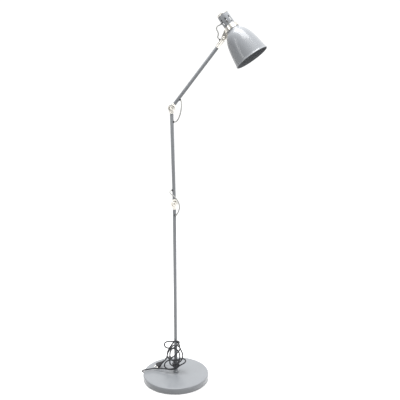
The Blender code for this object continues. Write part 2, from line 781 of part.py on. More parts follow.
def make_strap(head):
    """The plated strap round the neck, whose two legs fork round the arm's tongue."""
    slack = 0.0004
    profile = []
    for height, thickness in (
        (STRAP_LOW, 0),
        (STRAP_LOW, STRAP_T),
        (STRAP_HIGH, STRAP_T),
        (STRAP_HIGH, 0),
    ):
        profile.append((neck_radius(height) + slack + thickness, height))
    obj = solid("neck_strap", revolve(profile, 36), "nickel", head)
    pivot = Vector((-PIVOT_OFFSET, PIVOT_UP))
    low = Vector((-neck_radius(STRAP_LOW) + 0.0005, STRAP_LOW))
    high = Vector((-neck_radius(STRAP_HIGH) + 0.0007, STRAP_HIGH))
    outline = [tuple(low), tuple(high)]
    start, end = tangent_angle(pivot, high, 1), tangent_angle(pivot, low, -1) + 360
    outline += arc(pivot, LEG_DISC_R, start, end, 16)
    for side in (-1, 1):
        near, far = sorted((side * LEG_INNER, side * LEG_OUTER))
        leg = solid(f"strap_leg_{side}", extrude(outline, near, far), None, head)
        boolean(obj, leg, "UNION")
    bore = solid("strap_bore", rod(BOLT_BORE, -0.02, 0.02, 20), None, head,
                 (pivot.x, 0, pivot.y), ALONG_Y)
    boolean(obj, bore, "DIFFERENCE")


def tangent_angle(centre, point, side):
    """Where a line from the point touches the leg's disc, in degrees."""
    away = point - centre
    spread = math.acos(LEG_DISC_R / away.length)
    return math.degrees(math.atan2(away.y, away.x) + side * spread)


def make_lamp(head):
    """The lampholder with its threaded shell and carrier, and the bulb."""
    mouth = 0.0146
    holder = [
        (mouth, HOLDER_LOW),
        (HOLDER_R - 0.0008, HOLDER_LOW),
        (HOLDER_R, HOLDER_LOW + 0.0008),
        (HOLDER_R, HOLDER_TOP - 0.0080),
        (HOLDER_R - 0.0070, HOLDER_TOP),
        (0, HOLDER_TOP),
        (0, 0.1560),
        (mouth, 0.1560),
    ]
    solid("lampholder", revolve(holder), "ceramic", head)
    solid("thread_shell", ring(CAP_SHELL_R + 1.5 * GAP, mouth - GAP, 0.1290, 0.1550), "brass", head)
    carrier_low, carrier_high = 0.1400, 0.1418
    carrier_r = neck_radius(carrier_high) - SHADE_WALL - 2 * GAP
    solid("holder_carrier", ring(HOLDER_R + GAP, carrier_r, carrier_low, carrier_high), "steel", head)
    cap_low = 0.1268
    cap = [
        (0, 0.1508),
        (0.0060, 0.1508),
        (CAP_SHELL_R - CAP_WALL, 0.1480),
        (CAP_SHELL_R - CAP_WALL, cap_low),
        (CAP_SHELL_R, cap_low),
        (CAP_SHELL_R, 0.1490),
        (0.0060, 0.1525),
        (0.0045, 0.1540),
        (0, 0.1540),
    ]
    solid("bulb_cap", revolve(cap, 28), "brass", head)
    glass = []
    for inset in (0, BULB_WALL):
        side = [(0, BULB_CENTRE - BULB_R + inset)]
        side += arc((0, BULB_CENTRE), BULB_R - inset, -80, 35, 8)
        side += [(0.0175 - inset, 0.1060), (0.0135 - inset, 0.1190)]
        side += [(0.0127 - inset, cap_low - GAP)]
        glass += reversed(side) if inset else side
    solid("bulb_glass", revolve(glass), "glass", head)
    height = HEAD_LOOP_UP[0]
    route = [
        (-HOUSING_R + 0.0060, 0, height),
        (-0.0090, 0, height),
        (-0.0045, 0, height - 0.0010),
        (-0.0012, 0, height - 0.0036),
        (0, 0, HOLDER_TOP + 0.0028),
        (0, 0, HOLDER_TOP + GAP),
    ]
    tube("head_lead", route, LEAD_R, "lead", head)


def make_head():
    head = frame("shade_frame", RIM)
    make_shade(head)
    make_housing(head)
    make_strap(head)
    make_lamp(head)


# ---------------------------------------------------------------- joint loops


def stub(matrix, height, angle, surface=TUBE_R, start=0.0):
    """The two ends of a lead's straight stretch out through a grommet."""
    away = Vector((math.cos(angle), math.sin(angle), 0))
    ends = (start, surface + STUB)
    return [matrix @ (away * reach + Vector((0, 0, height))) for reach in ends]


def free(matrix, points):
    """Route points given from a joint's axis, in upright axes."""
    return [matrix.translation + Vector(p) for p in points]


def make_loops():
    """The lead's three loops. Each leaves one tube by its grommet and enters the next."""
    route = stub(UPPER, *ELBOW_LOOP_UP)
    route += free(UPPER, [
        (-0.0128, -0.0150, 0.0598),
        (-0.0115, -0.0212, 0.0545),
        (-0.0030, -0.0236, 0.0472),
        (0.0090, -0.0226, 0.0385),
        (0.0210, -0.0206, 0.0250),
        (0.0290, -0.0190, 0.0085),
        (0.0305, -0.0175, -0.0095),
        (0.0265, -0.0164, -0.0250),
        (0.0200, -0.0154, -0.0375),
        (0.0135, -0.0130, -0.0452),
    ])
    low = Matrix.Translation((0, 0, ELBOW_Z))
    route += reversed(stub(low, -ELBOW_LOOP_DOWN[0], ELBOW_LOOP_DOWN[1]))
    tube("elbow_loop", smooth_path(route, 0.007), LEAD_R, "lead")

    route = stub(UPPER, UPPER_LENGTH - SHOULDER_LOOP_DOWN[0], SHOULDER_LOOP_DOWN[1])
    route += free(ARM, [
        (0.0210, -0.0020, -0.0560),
        (0.0300, -0.0050, -0.0480),
        (0.0385, -0.0080, -0.0340),
        (0.0445, -0.0095, -0.0170),
        (0.0478, -0.0090, 0.0010),
        (0.0480, -0.0060, 0.0160),
        (0.0455, -0.0020, 0.0265),
    ])
    route += reversed(stub(ARM, *SHOULDER_LOOP_UP))
    tube("shoulder_loop", smooth_path(route, 0.007), LEAD_R, "lead")

    route = stub(RIM, *HEAD_LOOP_UP, HOUSING_R, HOUSING_R - 0.0057)
    route += free(HEAD, [
        (-0.0235, 0.0035, 0.0485),
        (-0.0305, 0.0015, 0.0450),
        (-0.0345, 0, 0.0390),
        (-0.0340, 0, 0.0320),
        (-0.0300, 0, 0.0245),
        (-0.0270, 0, 0.0165),
        (-0.0280, 0, 0.0080),
        (-0.0295, 0, 0.0020),
    ])
    route += reversed(stub(ARM, ARM_LENGTH - HEAD_LOOP_DOWN[0], HEAD_LOOP_DOWN[1], HEAD_FERRULE_R))
    tube("head_loop", smooth_path(route, 0.006), LEAD_R, "lead")


# ---------------------------------------------------------------- mains cord

def loft(sections, steps=20):
    """A solid with rounded-rectangle sections at heights along Z."""
    bm = bmesh.new()
    rings = []
    for height, half_x, half_y in sections:
        ring_verts = []
        for i in range(steps):
            angle = 2 * math.pi * i / steps
            c, s = math.cos(angle), math.sin(angle)
            x = math.copysign(abs(c) ** 0.7, c) * half_x
            y = math.copysign(abs(s) ** 0.7, s) * half_y
            ring_verts.append(bm.verts.new((x, y, height)))
        rings.append(ring_verts)
    for low, high in zip(rings, rings[1:]):
        for i in range(steps):
            j = (i + 1) % steps
            bm.faces.new((low[i], low[j], high[j], high[i]))
    bm.faces.new(rings[0])
    bm.faces.new(rings[-1])
    return bm


def plug_matrix(turned):
    """The plug's frame: origin on its face, Z back along the body, X across its width."""
    back = (turned @ PLUG_BACK - turned @ PLUG_FACE).normalized()
    level = Vector((0, 0, 1)).cross(back).normalized()
    across = Matrix.Rotation(PLUG_ROLL, 3, back) @ level
    matrix = Matrix((across, back.cross(across), back)).transposed().to_4x4()
    matrix.translation = turned @ PLUG_FACE
    return matrix


def make_mains_cord():
    turned = Matrix.Rotation(CORD_TURN, 4, "Z")
    away = Vector((math.cos(GLAND_ANGLE), math.sin(GLAND_ANGLE), 0))
    mouth = BASE_R + GLAND_LENGTH + GAP
    start = [away * reach + Vector((0, 0, GLAND_Z)) for reach in (mouth, mouth + 0.002)]
    route = start + [turned @ Vector(p) for p in TAIL_ROUTE]
    tube("cord_tail", smooth_path(route, 0.014), CORD_R, "cord")
    low, high = BUNDLE_PROFILE[0][1], BUNDLE_PROFILE[-1][1]
    profile = [(BUNDLE_INNER, low)] + BUNDLE_PROFILE + [(BUNDLE_INNER, high)]
    solid("cord_bundle", revolve(profile, 28), "cord")

    plug = frame("plug_frame", plug_matrix(turned))
    body = solid("plug_body", loft(PLUG_SECTIONS), "rubber", plug)
    for side, name in ((-1, "plug_pin_left"), (1, "plug_pin_right")):
        spot = (side * PIN_SPREAD, 0, 0)
        hole = solid(f"{name}_hole", rod(PIN_R + GAP, -0.01, PIN_IN + GAP, 14), None, plug, spot)
        boolean(body, hole, "DIFFERENCE")
        pin = [(0, -PIN_OUT), (0.0012, -PIN_OUT), (PIN_R, 0.0012 - PIN_OUT), (PIN_R, PIN_IN), (0, PIN_IN)]
        solid(name, revolve(pin, 14), "nickel", plug, spot)
    tip = PLUG_SECTIONS[-1][0] + GAP
    route = [turned @ Vector(p) for p in END_ROUTE]
    route += [plug.matrix_world @ Vector((0, 0, reach)) for reach in (tip + 0.004, tip)]
    tube("cord_end", smooth_path(route, 0.012), CORD_R, "cord")


# ---------------------------------------------------------------- main


def main():
    clear_scene()
    make_base()
    make_gland()
    make_lower_pole()
    make_upper()
    make_arm()
    make_clamps()
    make_head()
    make_loops()
    make_mains_cord()


main()
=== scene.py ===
"""The looks of the pharmacy floor lamp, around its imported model.

The frame is the model's own: metres, +Z up, the origin on the floor under the pole, the arm
towards +X and every hinge axis along Y.
"""

import json
import math

import bmesh
import bpy
import numpy as np
from mathutils import Matrix, Vector


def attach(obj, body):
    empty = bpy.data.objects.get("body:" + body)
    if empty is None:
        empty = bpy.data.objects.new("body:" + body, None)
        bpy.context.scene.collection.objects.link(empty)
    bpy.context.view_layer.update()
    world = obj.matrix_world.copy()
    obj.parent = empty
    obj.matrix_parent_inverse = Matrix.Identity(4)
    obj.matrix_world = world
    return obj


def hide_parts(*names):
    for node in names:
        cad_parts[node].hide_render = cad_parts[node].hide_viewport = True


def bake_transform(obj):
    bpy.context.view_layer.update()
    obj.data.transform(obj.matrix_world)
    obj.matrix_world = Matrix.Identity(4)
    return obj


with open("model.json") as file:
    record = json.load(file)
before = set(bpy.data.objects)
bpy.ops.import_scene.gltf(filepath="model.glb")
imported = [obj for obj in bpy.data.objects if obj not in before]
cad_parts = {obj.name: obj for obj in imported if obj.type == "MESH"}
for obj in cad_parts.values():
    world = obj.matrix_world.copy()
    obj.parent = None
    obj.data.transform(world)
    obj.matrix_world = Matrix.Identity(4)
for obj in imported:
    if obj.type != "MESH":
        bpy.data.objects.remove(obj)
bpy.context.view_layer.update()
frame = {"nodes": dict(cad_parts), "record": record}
RECORD = frame["record"]
SLOT_OF = {row["node"]: row["material_slot"] for row in RECORD["subparts"]}
BODY_OF = {node: body for body, nodes in RECORD["behaviour"]["bodies"].items() for node in nodes}

# The part's driving dimensions, in metres
GAP = 0.0003
BASE_R = 0.150
BASE_H = 0.030
BASE_CROWN = 0.034
COVER_WALL = 0.0015
PAD_H = 0.002
GLAND_Z = 0.0150
GLAND_ANGLE = math.radians(120)
GLAND_LENGTH = 0.024
TUBE_R = 0.0075
TUBE_BORE = 0.0063
COLLAR_R = 0.0130
COLLAR_TOP = 0.042
ELBOW_Z = 0.830
UPPER_LENGTH = 0.4145
ARM_LENGTH = 0.367
UPPER_LEAN = math.radians(-1.25)
ARM_LEAN = math.radians(39.3)
HEAD_LEAN = math.radians(-36.6)

DISC_R = 0.0135
DISC_INNER = 0.0008
DISC_OUTER = 0.0090
FERRULE_R = 0.0095
FERRULE_START = 0.0142
FERRULE_END = 0.0230
SOCKET_START = 0.0165
BOLT_R = 0.0030
BOLT_BORE = BOLT_R + GAP
BOLT_HEAD_R = 0.0055
CUP_R = 0.0082
CUP_DEPTH = 0.0030
KNOB_HUB = 0.0075
WING_REACH = 0.0150
WING_RISE = 0.0120
WING_T = 0.0028
TONGUE_R = 0.0090
TONGUE_HALF = 0.0080
TONGUE_NECK = 0.0065
LEG_INNER = 0.0096
LEG_OUTER = 0.0118
LEG_DISC_R = 0.0100
HEAD_FERRULE_R = 0.0093
HEAD_FERRULE = (0.0115, 0.0480)
HEAD_SOCKET = 0.0340

PIVOT_OFFSET = 0.0446
PIVOT_UP = 0.127
SHADE_WALL = 0.0012
RIM_R = 0.0706
RIM_Z = -0.0048  # lowest point of the rim
BEAD_R = 0.0014
BELL_TOP = Vector((0.0310, 0.1235))
BELL_HANDLES = (Vector((0.0630, 0.0480)), Vector((0.0580, 0.1040)))
NECK_LOW = Vector((0.0298, 0.1260))
NECK_TOP = Vector((0.0233, 0.1545))
HOUSING_R = 0.0236
HOUSING_WALL = 0.0012
HOUSING_TOP = 0.2010
SPIGOT_R = 0.0217
SPIGOT_LOW = 0.1470
SLOTS = 8
SLOT_W = 0.0048
SLOT_LOW = 0.1570
SLOT_HIGH = 0.1855
SLOT_TURN = math.radians(12)  # the first slot, from +X towards +Y
CAP_TOP = 0.2108
STRAP_LOW = 0.1330
STRAP_HIGH = 0.1510
STRAP_T = 0.0020
HOLDER_R = 0.0190
HOLDER_LOW = 0.1240
HOLDER_TOP = 0.1700
HOLDER_MOUTH = 0.0146
BULB_R = 0.0300
BULB_CENTRE = 0.0760
BULB_WALL = 0.0010
BULB_CAP_LOW = 0.1268
CAP_SHELL_R = 0.0130
CAP_WALL = 0.0008
BUTTON_R = 0.0060

LEAD_R = 0.0025
GROMMET_R = 0.0050
GROMMET_HOLE = 0.0042
STUB = 0.0040
ELBOW_LOOP_UP = (0.0620, math.radians(-135))
ELBOW_LOOP_DOWN = (0.0480, math.radians(-45))
SHOULDER_LOOP_UP = (0.0520, 0.0)
SHOULDER_LOOP_DOWN = (0.0580, 0.0)
HEAD_LOOP_UP = (0.1790, math.radians(169.5))
HEAD_LOOP_DOWN = (0.0190, math.pi)

WORLD = Matrix.Identity(4)
ELBOW = Matrix.Translation((0, 0, ELBOW_Z))
UPPER = ELBOW @ Matrix.Rotation(UPPER_LEAN, 4, "Y")
ARM = Matrix.Translation(UPPER @ Vector((0, 0, UPPER_LENGTH))) @ Matrix.Rotation(ARM_LEAN, 4, "Y")
HEAD = Matrix.Translation(ARM @ Vector((0, 0, ARM_LENGTH))) @ Matrix.Rotation(HEAD_LEAN, 4, "Y")
RIM = HEAD @ Matrix.Translation((PIVOT_OFFSET, 0, -PIVOT_UP))
ALONG_Y = Matrix.Rotation(-math.pi / 2, 4, "X")

# ---------------------------------------------------------------- camera, floor and light

CAMERA_AT = (0.9971, -2.4134, 1.4338)
CAMERA_TURN = math.radians(20)
CAMERA_PITCH = math.radians(12.654)
CAMERA_LENS = 55.35
BRIGHT_SIDE = (0.25, 0.55, 0.80)
SKY_LOW = 0.12
SKY_HIGH = 1.15
BACKDROP = 1.1  # the white that the camera sees behind the lamp


def make_camera():
    camera = bpy.data.objects.new("camera", bpy.data.cameras.new("camera"))
    camera.data.lens = CAMERA_LENS
    camera.location = CAMERA_AT
    camera.rotation_euler = (math.pi / 2 - CAMERA_PITCH, 0, CAMERA_TURN)
    bpy.context.scene.collection.objects.link(camera)
    bpy.context.scene.camera = camera


def area_light(name, place_at, aim, size, power):
    """A soft rectangular light of a width and height, facing a point."""
    light = bpy.data.lights.new(name, "AREA")
    light.shape = "RECTANGLE"
    light.size, light.size_y = size
    light.energy = power
    obj = bpy.data.objects.new(name, light)
    obj.location = place_at
    obj.rotation_euler = (Vector(aim) - Vector(place_at)).to_track_quat("-Z", "Y").to_euler()
    obj.visible_camera = False
    bpy.context.scene.collection.objects.link(obj)


def make_world():
    """A white studio, brightest above and behind the lamp and dimmer on the camera's side."""
    world = bpy.data.worlds.new("studio")
    world.use_nodes = True
    nodes, links = world.node_tree.nodes, world.node_tree.links
    sky = nodes["Background"]
    sky.inputs["Color"].default_value = (1.0, 1.0, 1.0, 1.0)
    direction = nodes.new("ShaderNodeTexCoord")
    towards = nodes.new("ShaderNodeVectorMath")
    towards.operation = "DOT_PRODUCT"
    towards.inputs[1].default_value = Vector(BRIGHT_SIDE).normalized()
    links.new(direction.outputs["Generated"], towards.inputs[0])
    level = nodes.new("ShaderNodeMapRange")
    level.inputs["From Min"].default_value = -0.8
    level.inputs["From Max"].default_value = 0.9
    level.inputs["To Min"].default_value = SKY_LOW
    level.inputs["To Max"].default_value = SKY_HIGH
    links.new(towards.outputs["Value"], level.inputs["Value"])
    seen = nodes.new("ShaderNodeLightPath")
    pick = nodes.new("ShaderNodeMix")
    links.new(seen.outputs["Is Camera Ray"], pick.inputs["Factor"])
    links.new(level.outputs["Result"], pick.inputs["A"])
    pick.inputs["B"].default_value = BACKDROP
    links.new(pick.outputs["Result"], sky.inputs["Strength"])
    bpy.context.scene.world = world


def make_studio():
    """A white world, a pale floor and soft lights. The floor lends no light to the lamp."""
    make_world()
    bpy.context.scene.view_settings.view_transform = "Standard"
    area_light("top", (0.0, -0.2, 3.6), (0.1, 0, 0.6), (2.4, 1.6), 88)
    area_light("left_strip", (-1.5, -2.0, 1.9), (0.3, 0, 1.35), (0.50, 1.8), 10)
    area_light("right_strip", (1.9, -1.9, 2.2), (0.3, 0, 1.35), (0.25, 1.2), 4)
    bm = bmesh.new()
    bmesh.ops.create_grid(bm, x_segments=24, y_segments=24, size=14.0)
    mesh = bpy.data.meshes.new("floor")
    bm.to_mesh(mesh)
    bm.free()
    floor = bpy.data.objects.new("floor", mesh)
    bpy.context.scene.collection.objects.link(floor)
    floor.data.materials.append(finish("floor", (0.93, 0.93, 0.935), 0.01, 0.75, 0.05, blotch=1.5,
                                       Emission_Color=(1, 1, 1, 1), Emission_Strength=0.20))
    floor.visible_diffuse = False


# ---------------------------------------------------------------- materials


def finish(name, colour, variation, roughness, spread, metallic=0.0, blotch=30.0, grain=600.0,
           bump=0.0, depth=0.0001, stretch=(1, 1, 1), **sockets):
    """A procedural finish: blotches of colour, grain in the roughness and in a fine bump.

    stretch scales the pattern along the piece's own axes, so a large Z draws rings round it.
    """
    mat = bpy.data.materials.new(name)
    mat.use_nodes = True
    nodes, links = mat.node_tree.nodes, mat.node_tree.links
    shader = nodes["Principled BSDF"]
    shader.inputs["Metallic"].default_value = metallic
    for socket, value in sockets.items():
        shader.inputs[socket.replace("_", " ")].default_value = value
    coordinates = nodes.new("ShaderNodeTexCoord")
    mapping = nodes.new("ShaderNodeMapping")
    mapping.inputs["Scale"].default_value = stretch
    links.new(coordinates.outputs["Object"], mapping.inputs["Vector"])

    broad = nodes.new("ShaderNodeTexNoise")
    broad.inputs["Scale"].default_value = blotch
    broad.inputs["Detail"].default_value = 5.0
    links.new(coordinates.outputs["Object"], broad.inputs["Vector"])
    ramp = nodes.new("ShaderNodeValToRGB")
    ramp.color_ramp.elements[0].position = 0.30
    ramp.color_ramp.elements[1].position = 0.70
    ramp.color_ramp.elements[0].color = (*(c * (1 - variation) for c in colour), 1.0)
    ramp.color_ramp.elements[1].color = (*(min(1.0, c * (1 + variation)) for c in colour), 1.0)
    links.new(broad.outputs["Fac"], ramp.inputs["Fac"])
    links.new(ramp.outputs["Color"], shader.inputs["Base Color"])

    fine = nodes.new("ShaderNodeTexNoise")
    fine.inputs["Scale"].default_value = grain
    fine.inputs["Detail"].default_value = 3.0
    links.new(mapping.outputs["Vector"], fine.inputs["Vector"])
    rough = nodes.new("ShaderNodeMapRange")
    rough.inputs["From Min"].default_value = 0.3
    rough.inputs["From Max"].default_value = 0.7
    rough.inputs["To Min"].default_value = roughness - spread
    rough.inputs["To Max"].default_value = roughness + spread
    links.new(fine.outputs["Fac"], rough.inputs["Value"])
    links.new(rough.outputs["Result"], shader.inputs["Roughness"])
    if bump:
        relief = nodes.new("ShaderNodeBump")
        relief.inputs["Strength"].default_value = bump
        relief.inputs["Distance"].default_value = depth
        links.new(fine.outputs["Fac"], relief.inputs["Height"])
        links.new(relief.outputs["Normal"], shader.inputs["Normal"])
    return mat


def make_materials():
    """One finish for each of the record's slots, and a few that a single piece adds."""
    rings = (1, 1, 14)
    return {
        "satin_grey_paint": finish("satin_grey_paint", (0.30, 0.315, 0.335), 0.02, 0.34, 0.015, 0.0,
                                   blotch=18, grain=1300, Coat_Weight=0.5,
                                   Coat_Roughness=0.10),
        # The lamp shade's inside: the outer grey paint made darker, painted shade for the dim
        # inside of the bell
        "lampshade_inside_painted_shade": finish("lampshade_inside_painted_shade", (0.20, 0.21, 0.225), 0.05, 0.50, 0.06, 0.1,
                               blotch=30, grain=900, bump=0.10, stretch=rings),
        "nickel_plate": finish("nickel_plate", (0.80, 0.775, 0.72), 0.05, 0.20, 0.06, 1.0,
                               blotch=120, grain=900, bump=0.05),
        "nickel_rings": finish("nickel_rings", (0.80, 0.775, 0.72), 0.05, 0.22, 0.06, 1.0,
                               blotch=90, grain=350, bump=0.06, stretch=rings),
        "zinc_steel": finish("zinc_steel", (0.56, 0.56, 0.57), 0.10, 0.38, 0.08, 1.0,
                             blotch=70, grain=800, bump=0.10),
        "cast_weight": finish("cast_weight", (0.11, 0.11, 0.12), 0.25, 0.70, 0.10, 0.4,
                              blotch=80, grain=500, bump=0.5, depth=0.0004),
        "foam_pad": finish("foam_pad", (0.035, 0.035, 0.037), 0.20, 0.93, 0.04,
                           blotch=150, grain=1400, bump=0.6, depth=0.0003),
        "fibre_washer": finish("fibre_washer", (0.11, 0.085, 0.07), 0.25, 0.80, 0.06,
                               blotch=300, grain=2500, bump=0.3),
        "black_rubber": finish("black_rubber", (0.022, 0.022, 0.024), 0.20, 0.55, 0.08,
                               blotch=120, grain=1800, bump=0.15),
        "black_cord": finish("black_cord", (0.030, 0.031, 0.036), 0.22, 0.40, 0.08,
                             blotch=60, grain=1600, bump=0.12),
        "grey_lead": finish("grey_lead", (0.52, 0.52, 0.50), 0.06, 0.45, 0.06,
                            blotch=90, grain=1600, bump=0.10),
        "plug_plastic": finish("plug_plastic", (0.024, 0.024, 0.028), 0.15, 0.52, 0.07,
                               blotch=100, grain=2600, bump=0.25),
        "switch_plastic": finish("switch_plastic", (0.030, 0.030, 0.032), 0.12, 0.32, 0.05,
                                 blotch=150, grain=1500, bump=0.05),
        "white_ceramic": finish("white_ceramic", (0.83, 0.82, 0.78), 0.02, 0.25, 0.05,
                                blotch=60, grain=700, bump=0.04, Coat_Weight=0.4),
        "brass_contact": finish("brass_contact", (0.78, 0.62, 0.34), 0.08, 0.28, 0.07, 1.0,
                                blotch=200, grain=900, bump=0.05, stretch=rings),
        "bulb_opal": finish("bulb_opal", (0.90, 0.90, 0.88), 0.012, 0.16, 0.03,
                            blotch=40, grain=500, bump=0.02, Subsurface_Weight=0.3,
                            Subsurface_Scale=0.01),
    }


# ---------------------------------------------------------------- pieces


def mesh_object(name, bm, matrix, materials, sharp=40):
    bmesh.ops.recalc_face_normals(bm, faces=bm.faces)
    mesh = bpy.data.meshes.new(name)
    bm.to_mesh(mesh)
    bm.free()
    mesh.shade_smooth()
    mesh.set_sharp_from_angle(angle=math.radians(sharp))
    for item in materials:
        mesh.materials.append(item)
    obj = bpy.data.objects.new(name, mesh)
    bpy.context.scene.collection.objects.link(obj)
    obj.matrix_world = matrix
    return obj


def show(node, bm, matrix=WORLD, finishes=None, sharp=40):
    """A finer piece in a CAD node's place. It takes the node's body and slot."""
    slot = SLOT_OF[node]
    materials = [MATERIALS[key] for key in (finishes or [slot])]
    piece = mesh_object(f"{node}_look", bm, matrix, materials, sharp)
    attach(piece, BODY_OF[node])
    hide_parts(node)
    return piece


def blank(bm, matrix=WORLD):
    """A throwaway body for a boolean."""
    return mesh_object("blank", bm, matrix, [])


def applied(obj):
    """Applies an object's modifiers, and gives its shape back as a bmesh. The object goes."""
    tools = [m.object for m in obj.modifiers if m.type == "BOOLEAN"]
    bpy.context.view_layer.update()
    bm = bmesh.new()
    bm.from_object(obj, bpy.context.evaluated_depsgraph_get())
    for item in [obj, *tools]:
        bpy.data.objects.remove(item, do_unlink=True)
    return bm


def boolean(obj, bm, matrix=WORLD, operation="DIFFERENCE"):
    modifier = obj.modifiers.new(operation, "BOOLEAN")
    modifier.operation = operation
    modifier.solver = "EXACT"
    modifier.object = blank(bm, matrix)


def cast(obj, voxel, passes=5):
    """Gives a body the soft edges and fillets of a plated casting."""
    remesh = obj.modifiers.new("cast", "REMESH")
    remesh.mode = "VOXEL"
    remesh.voxel_size = voxel
    remesh.use_smooth_shade = True
    smooth = obj.modifiers.new("polish", "SMOOTH")
    smooth.factor = 0.5
    smooth.iterations = passes
    return applied(obj)


def rounded(points, radius=0.0004, steps=3, closed=True):
    """A profile with its corners rounded. An open profile keeps its two end points."""
    points = [Vector(p) for p in points]
    out = []
    for i, corner in enumerate(points):
        if not closed and i in (0, len(points) - 1):
            out.append(corner)
            continue
        before, after = points[i - 1], points[(i + 1) % len(points)]
        back, ahead = before - corner, after - corner
        if min(back.length, ahead.length) < 1e-7 or back.angle(-ahead) < math.radians(14):
            out.append(corner)
            continue
        start = corner + back.normalized() * min(radius, 0.45 * back.length)
        end = corner + ahead.normalized() * min(radius, 0.45 * ahead.length)
        for step in range(steps + 1):
            t = step / steps
            out.append((1 - t) ** 2 * start + 2 * t * (1 - t) * corner + t * t * end)
    return [tuple(p) for p in out]


def revolve(profile, segments=96, inside=()):
    """A turned shape about Z from (radius, height) points, closed by its poles or as a ring.

    The bands named in inside, as (first, last), take the second material.
    """
    bm = bmesh.new()
    rings = []
    for radius, height in profile:
        if radius < 1e-7:
            rings.append([bm.verts.new((0, 0, height))])
            continue
        turn = [2 * math.pi * i / segments for i in range(segments)]
        around = [(radius * math.cos(a), radius * math.sin(a), height) for a in turn]
        rings.append([bm.verts.new(point) for point in around])
    pairs = list(zip(rings, rings[1:]))
    if len(rings[0]) > 1:
        pairs.append((rings[-1], rings[0]))
    for band, (low, high) in enumerate(pairs):
        for i in range(segments):
            corners = [low[i % len(low)], low[(i + 1) % len(low)]]
            corners += [high[(i + 1) % len(high)], high[i % len(high)]]
            unique = list(dict.fromkeys(corners))
            if len(unique) > 2:
                face = bm.faces.new(unique)
                face.material_index = 1 if inside and inside[0] <= band <= inside[1] else 0
    return bm


def ring(inner, outer, low, high, segments=48):
    return revolve([(inner, low), (outer, low), (outer, high), (inner, high)], segments)


def rod(radius, low, high, segments=48):
    return revolve([(0, low), (radius, low), (radius, high), (0, high)], segments)


def extrude(outline, low, high):
    """A plate with an outline in X and Z, and faces at Y low and Y high."""
    bm = bmesh.new()
    face = bm.faces.new([bm.verts.new((x, low, z)) for x, z in outline])
    made = bmesh.ops.extrude_face_region(bm, geom=[face])
    moved = [item for item in made["geom"] if isinstance(item, bmesh.types.BMVert)]
    bmesh.ops.translate(bm, verts=moved, vec=(0, high - low, 0))
    return bm


def arc(centre, radius, start, end, steps):
    """Points on a circle in two axes, angles in degrees from the first towards the second."""
    points = []
    for i in range(steps + 1):
        angle = math.radians(start + (end - start) * i / steps)
        points.append((centre[0] + radius * math.cos(angle), centre[1] + radius * math.sin(angle)))
    return points


def at(x, y, z):
    return Matrix.Translation((x, y, z))


def outward(height, angle):
    """A place on Z whose own Z axis points out horizontally, at an angle from +X towards +Y."""
    return at(0, 0, height) @ Matrix.Rotation(angle, 4, "Z") @ Matrix.Rotation(math.pi / 2, 4, "Y")


def catmull(points, spacing):
    """Points about a spacing apart on a Catmull-Rom curve, as rows of an array.

    The curve runs from the second point to the last but one. The first and last points are
    joined to it by straight lines, and steer its ends.
    """
    route = np.array([tuple(p) for p in points])
    path = [route[0], route[1]]
    for i in range(1, len(route) - 2):
        before, start, end, after = route[i - 1 : i + 3]
        steps = max(1, round(float(np.linalg.norm(end - start)) / spacing))
        bend = 2 * before - 5 * start + 4 * end - after
        turn = 3 * start - before - 3 * end + after
        for t in np.arange(1, steps + 1) / steps:
            path.append(start + 0.5 * ((end - before) * t + bend * t**2 + turn * t**3))
    path.append(route[-1])
    return np.array(path)


def evenly(path, spacing):
    """The same line with its points evenly spaced."""
    lengths = np.linalg.norm(np.diff(path, axis=0), axis=1)
    along = np.concatenate([[0], np.cumsum(lengths)])
    count = max(2, round(along[-1] / spacing)) + 1
    spots = np.linspace(0, along[-1], count)
    return np.stack([np.interp(spots, along, path[:, axis]) for axis in range(3)], axis=1)


def lead_curve(name, path, radius, slot):
    """A round lead along a path, as a curve of one open spline."""
    curve = bpy.data.curves.new(name, "CURVE")
    curve.dimensions = "3D"
    curve.bevel_depth = radius
    curve.bevel_resolution = 5
    curve.use_fill_caps = True
    spline = curve.splines.new("POLY")
    spline.points.add(len(path) - 1)
    for point, spot in zip(spline.points, path):
        point.co = (*spot, 1)
    curve.materials.append(MATERIALS[slot])
    obj = bpy.data.objects.new(name, curve)
    bpy.context.scene.collection.objects.link(obj)
    return obj


# ---------------------------------------------------------------- mains cord

CORD_R = 0.0030
CORD_TURN = math.radians(20)  # the cord's points are given in a frame turned about the pole
CORD_STEP = 0.0030  # spacing of the points on the finished cord
WOUND_TURNS = [  # two turns round the pole's foot
    (-0.0080, 0.0125, 0.0640),
    (-0.0140, 0.0010, 0.0620),
    (-0.0050, -0.0130, 0.0620),
    (0.0085, -0.0110, 0.0640),
    (0.0140, 0.0010, 0.0660),
    (0.0060, 0.0130, 0.0690),
    (-0.0080, 0.0120, 0.0710),
    (-0.0145, 0.0000, 0.0730),
    (-0.0055, -0.0135, 0.0740),
    (0.0085, -0.0115, 0.0765),
    (0.0145, 0.0015, 0.0790),
    (0.0060, 0.0140, 0.0810),
]
TURNS_SPREAD = 1.18  # how much wider the turns lie than the list says


def spread(points, factor):
    """Points moved out from the pole by a factor, to the nearest tenth of a millimetre."""
    return [(round(x * factor, 4), round(y * factor, 4), z) for x, y, z in points]


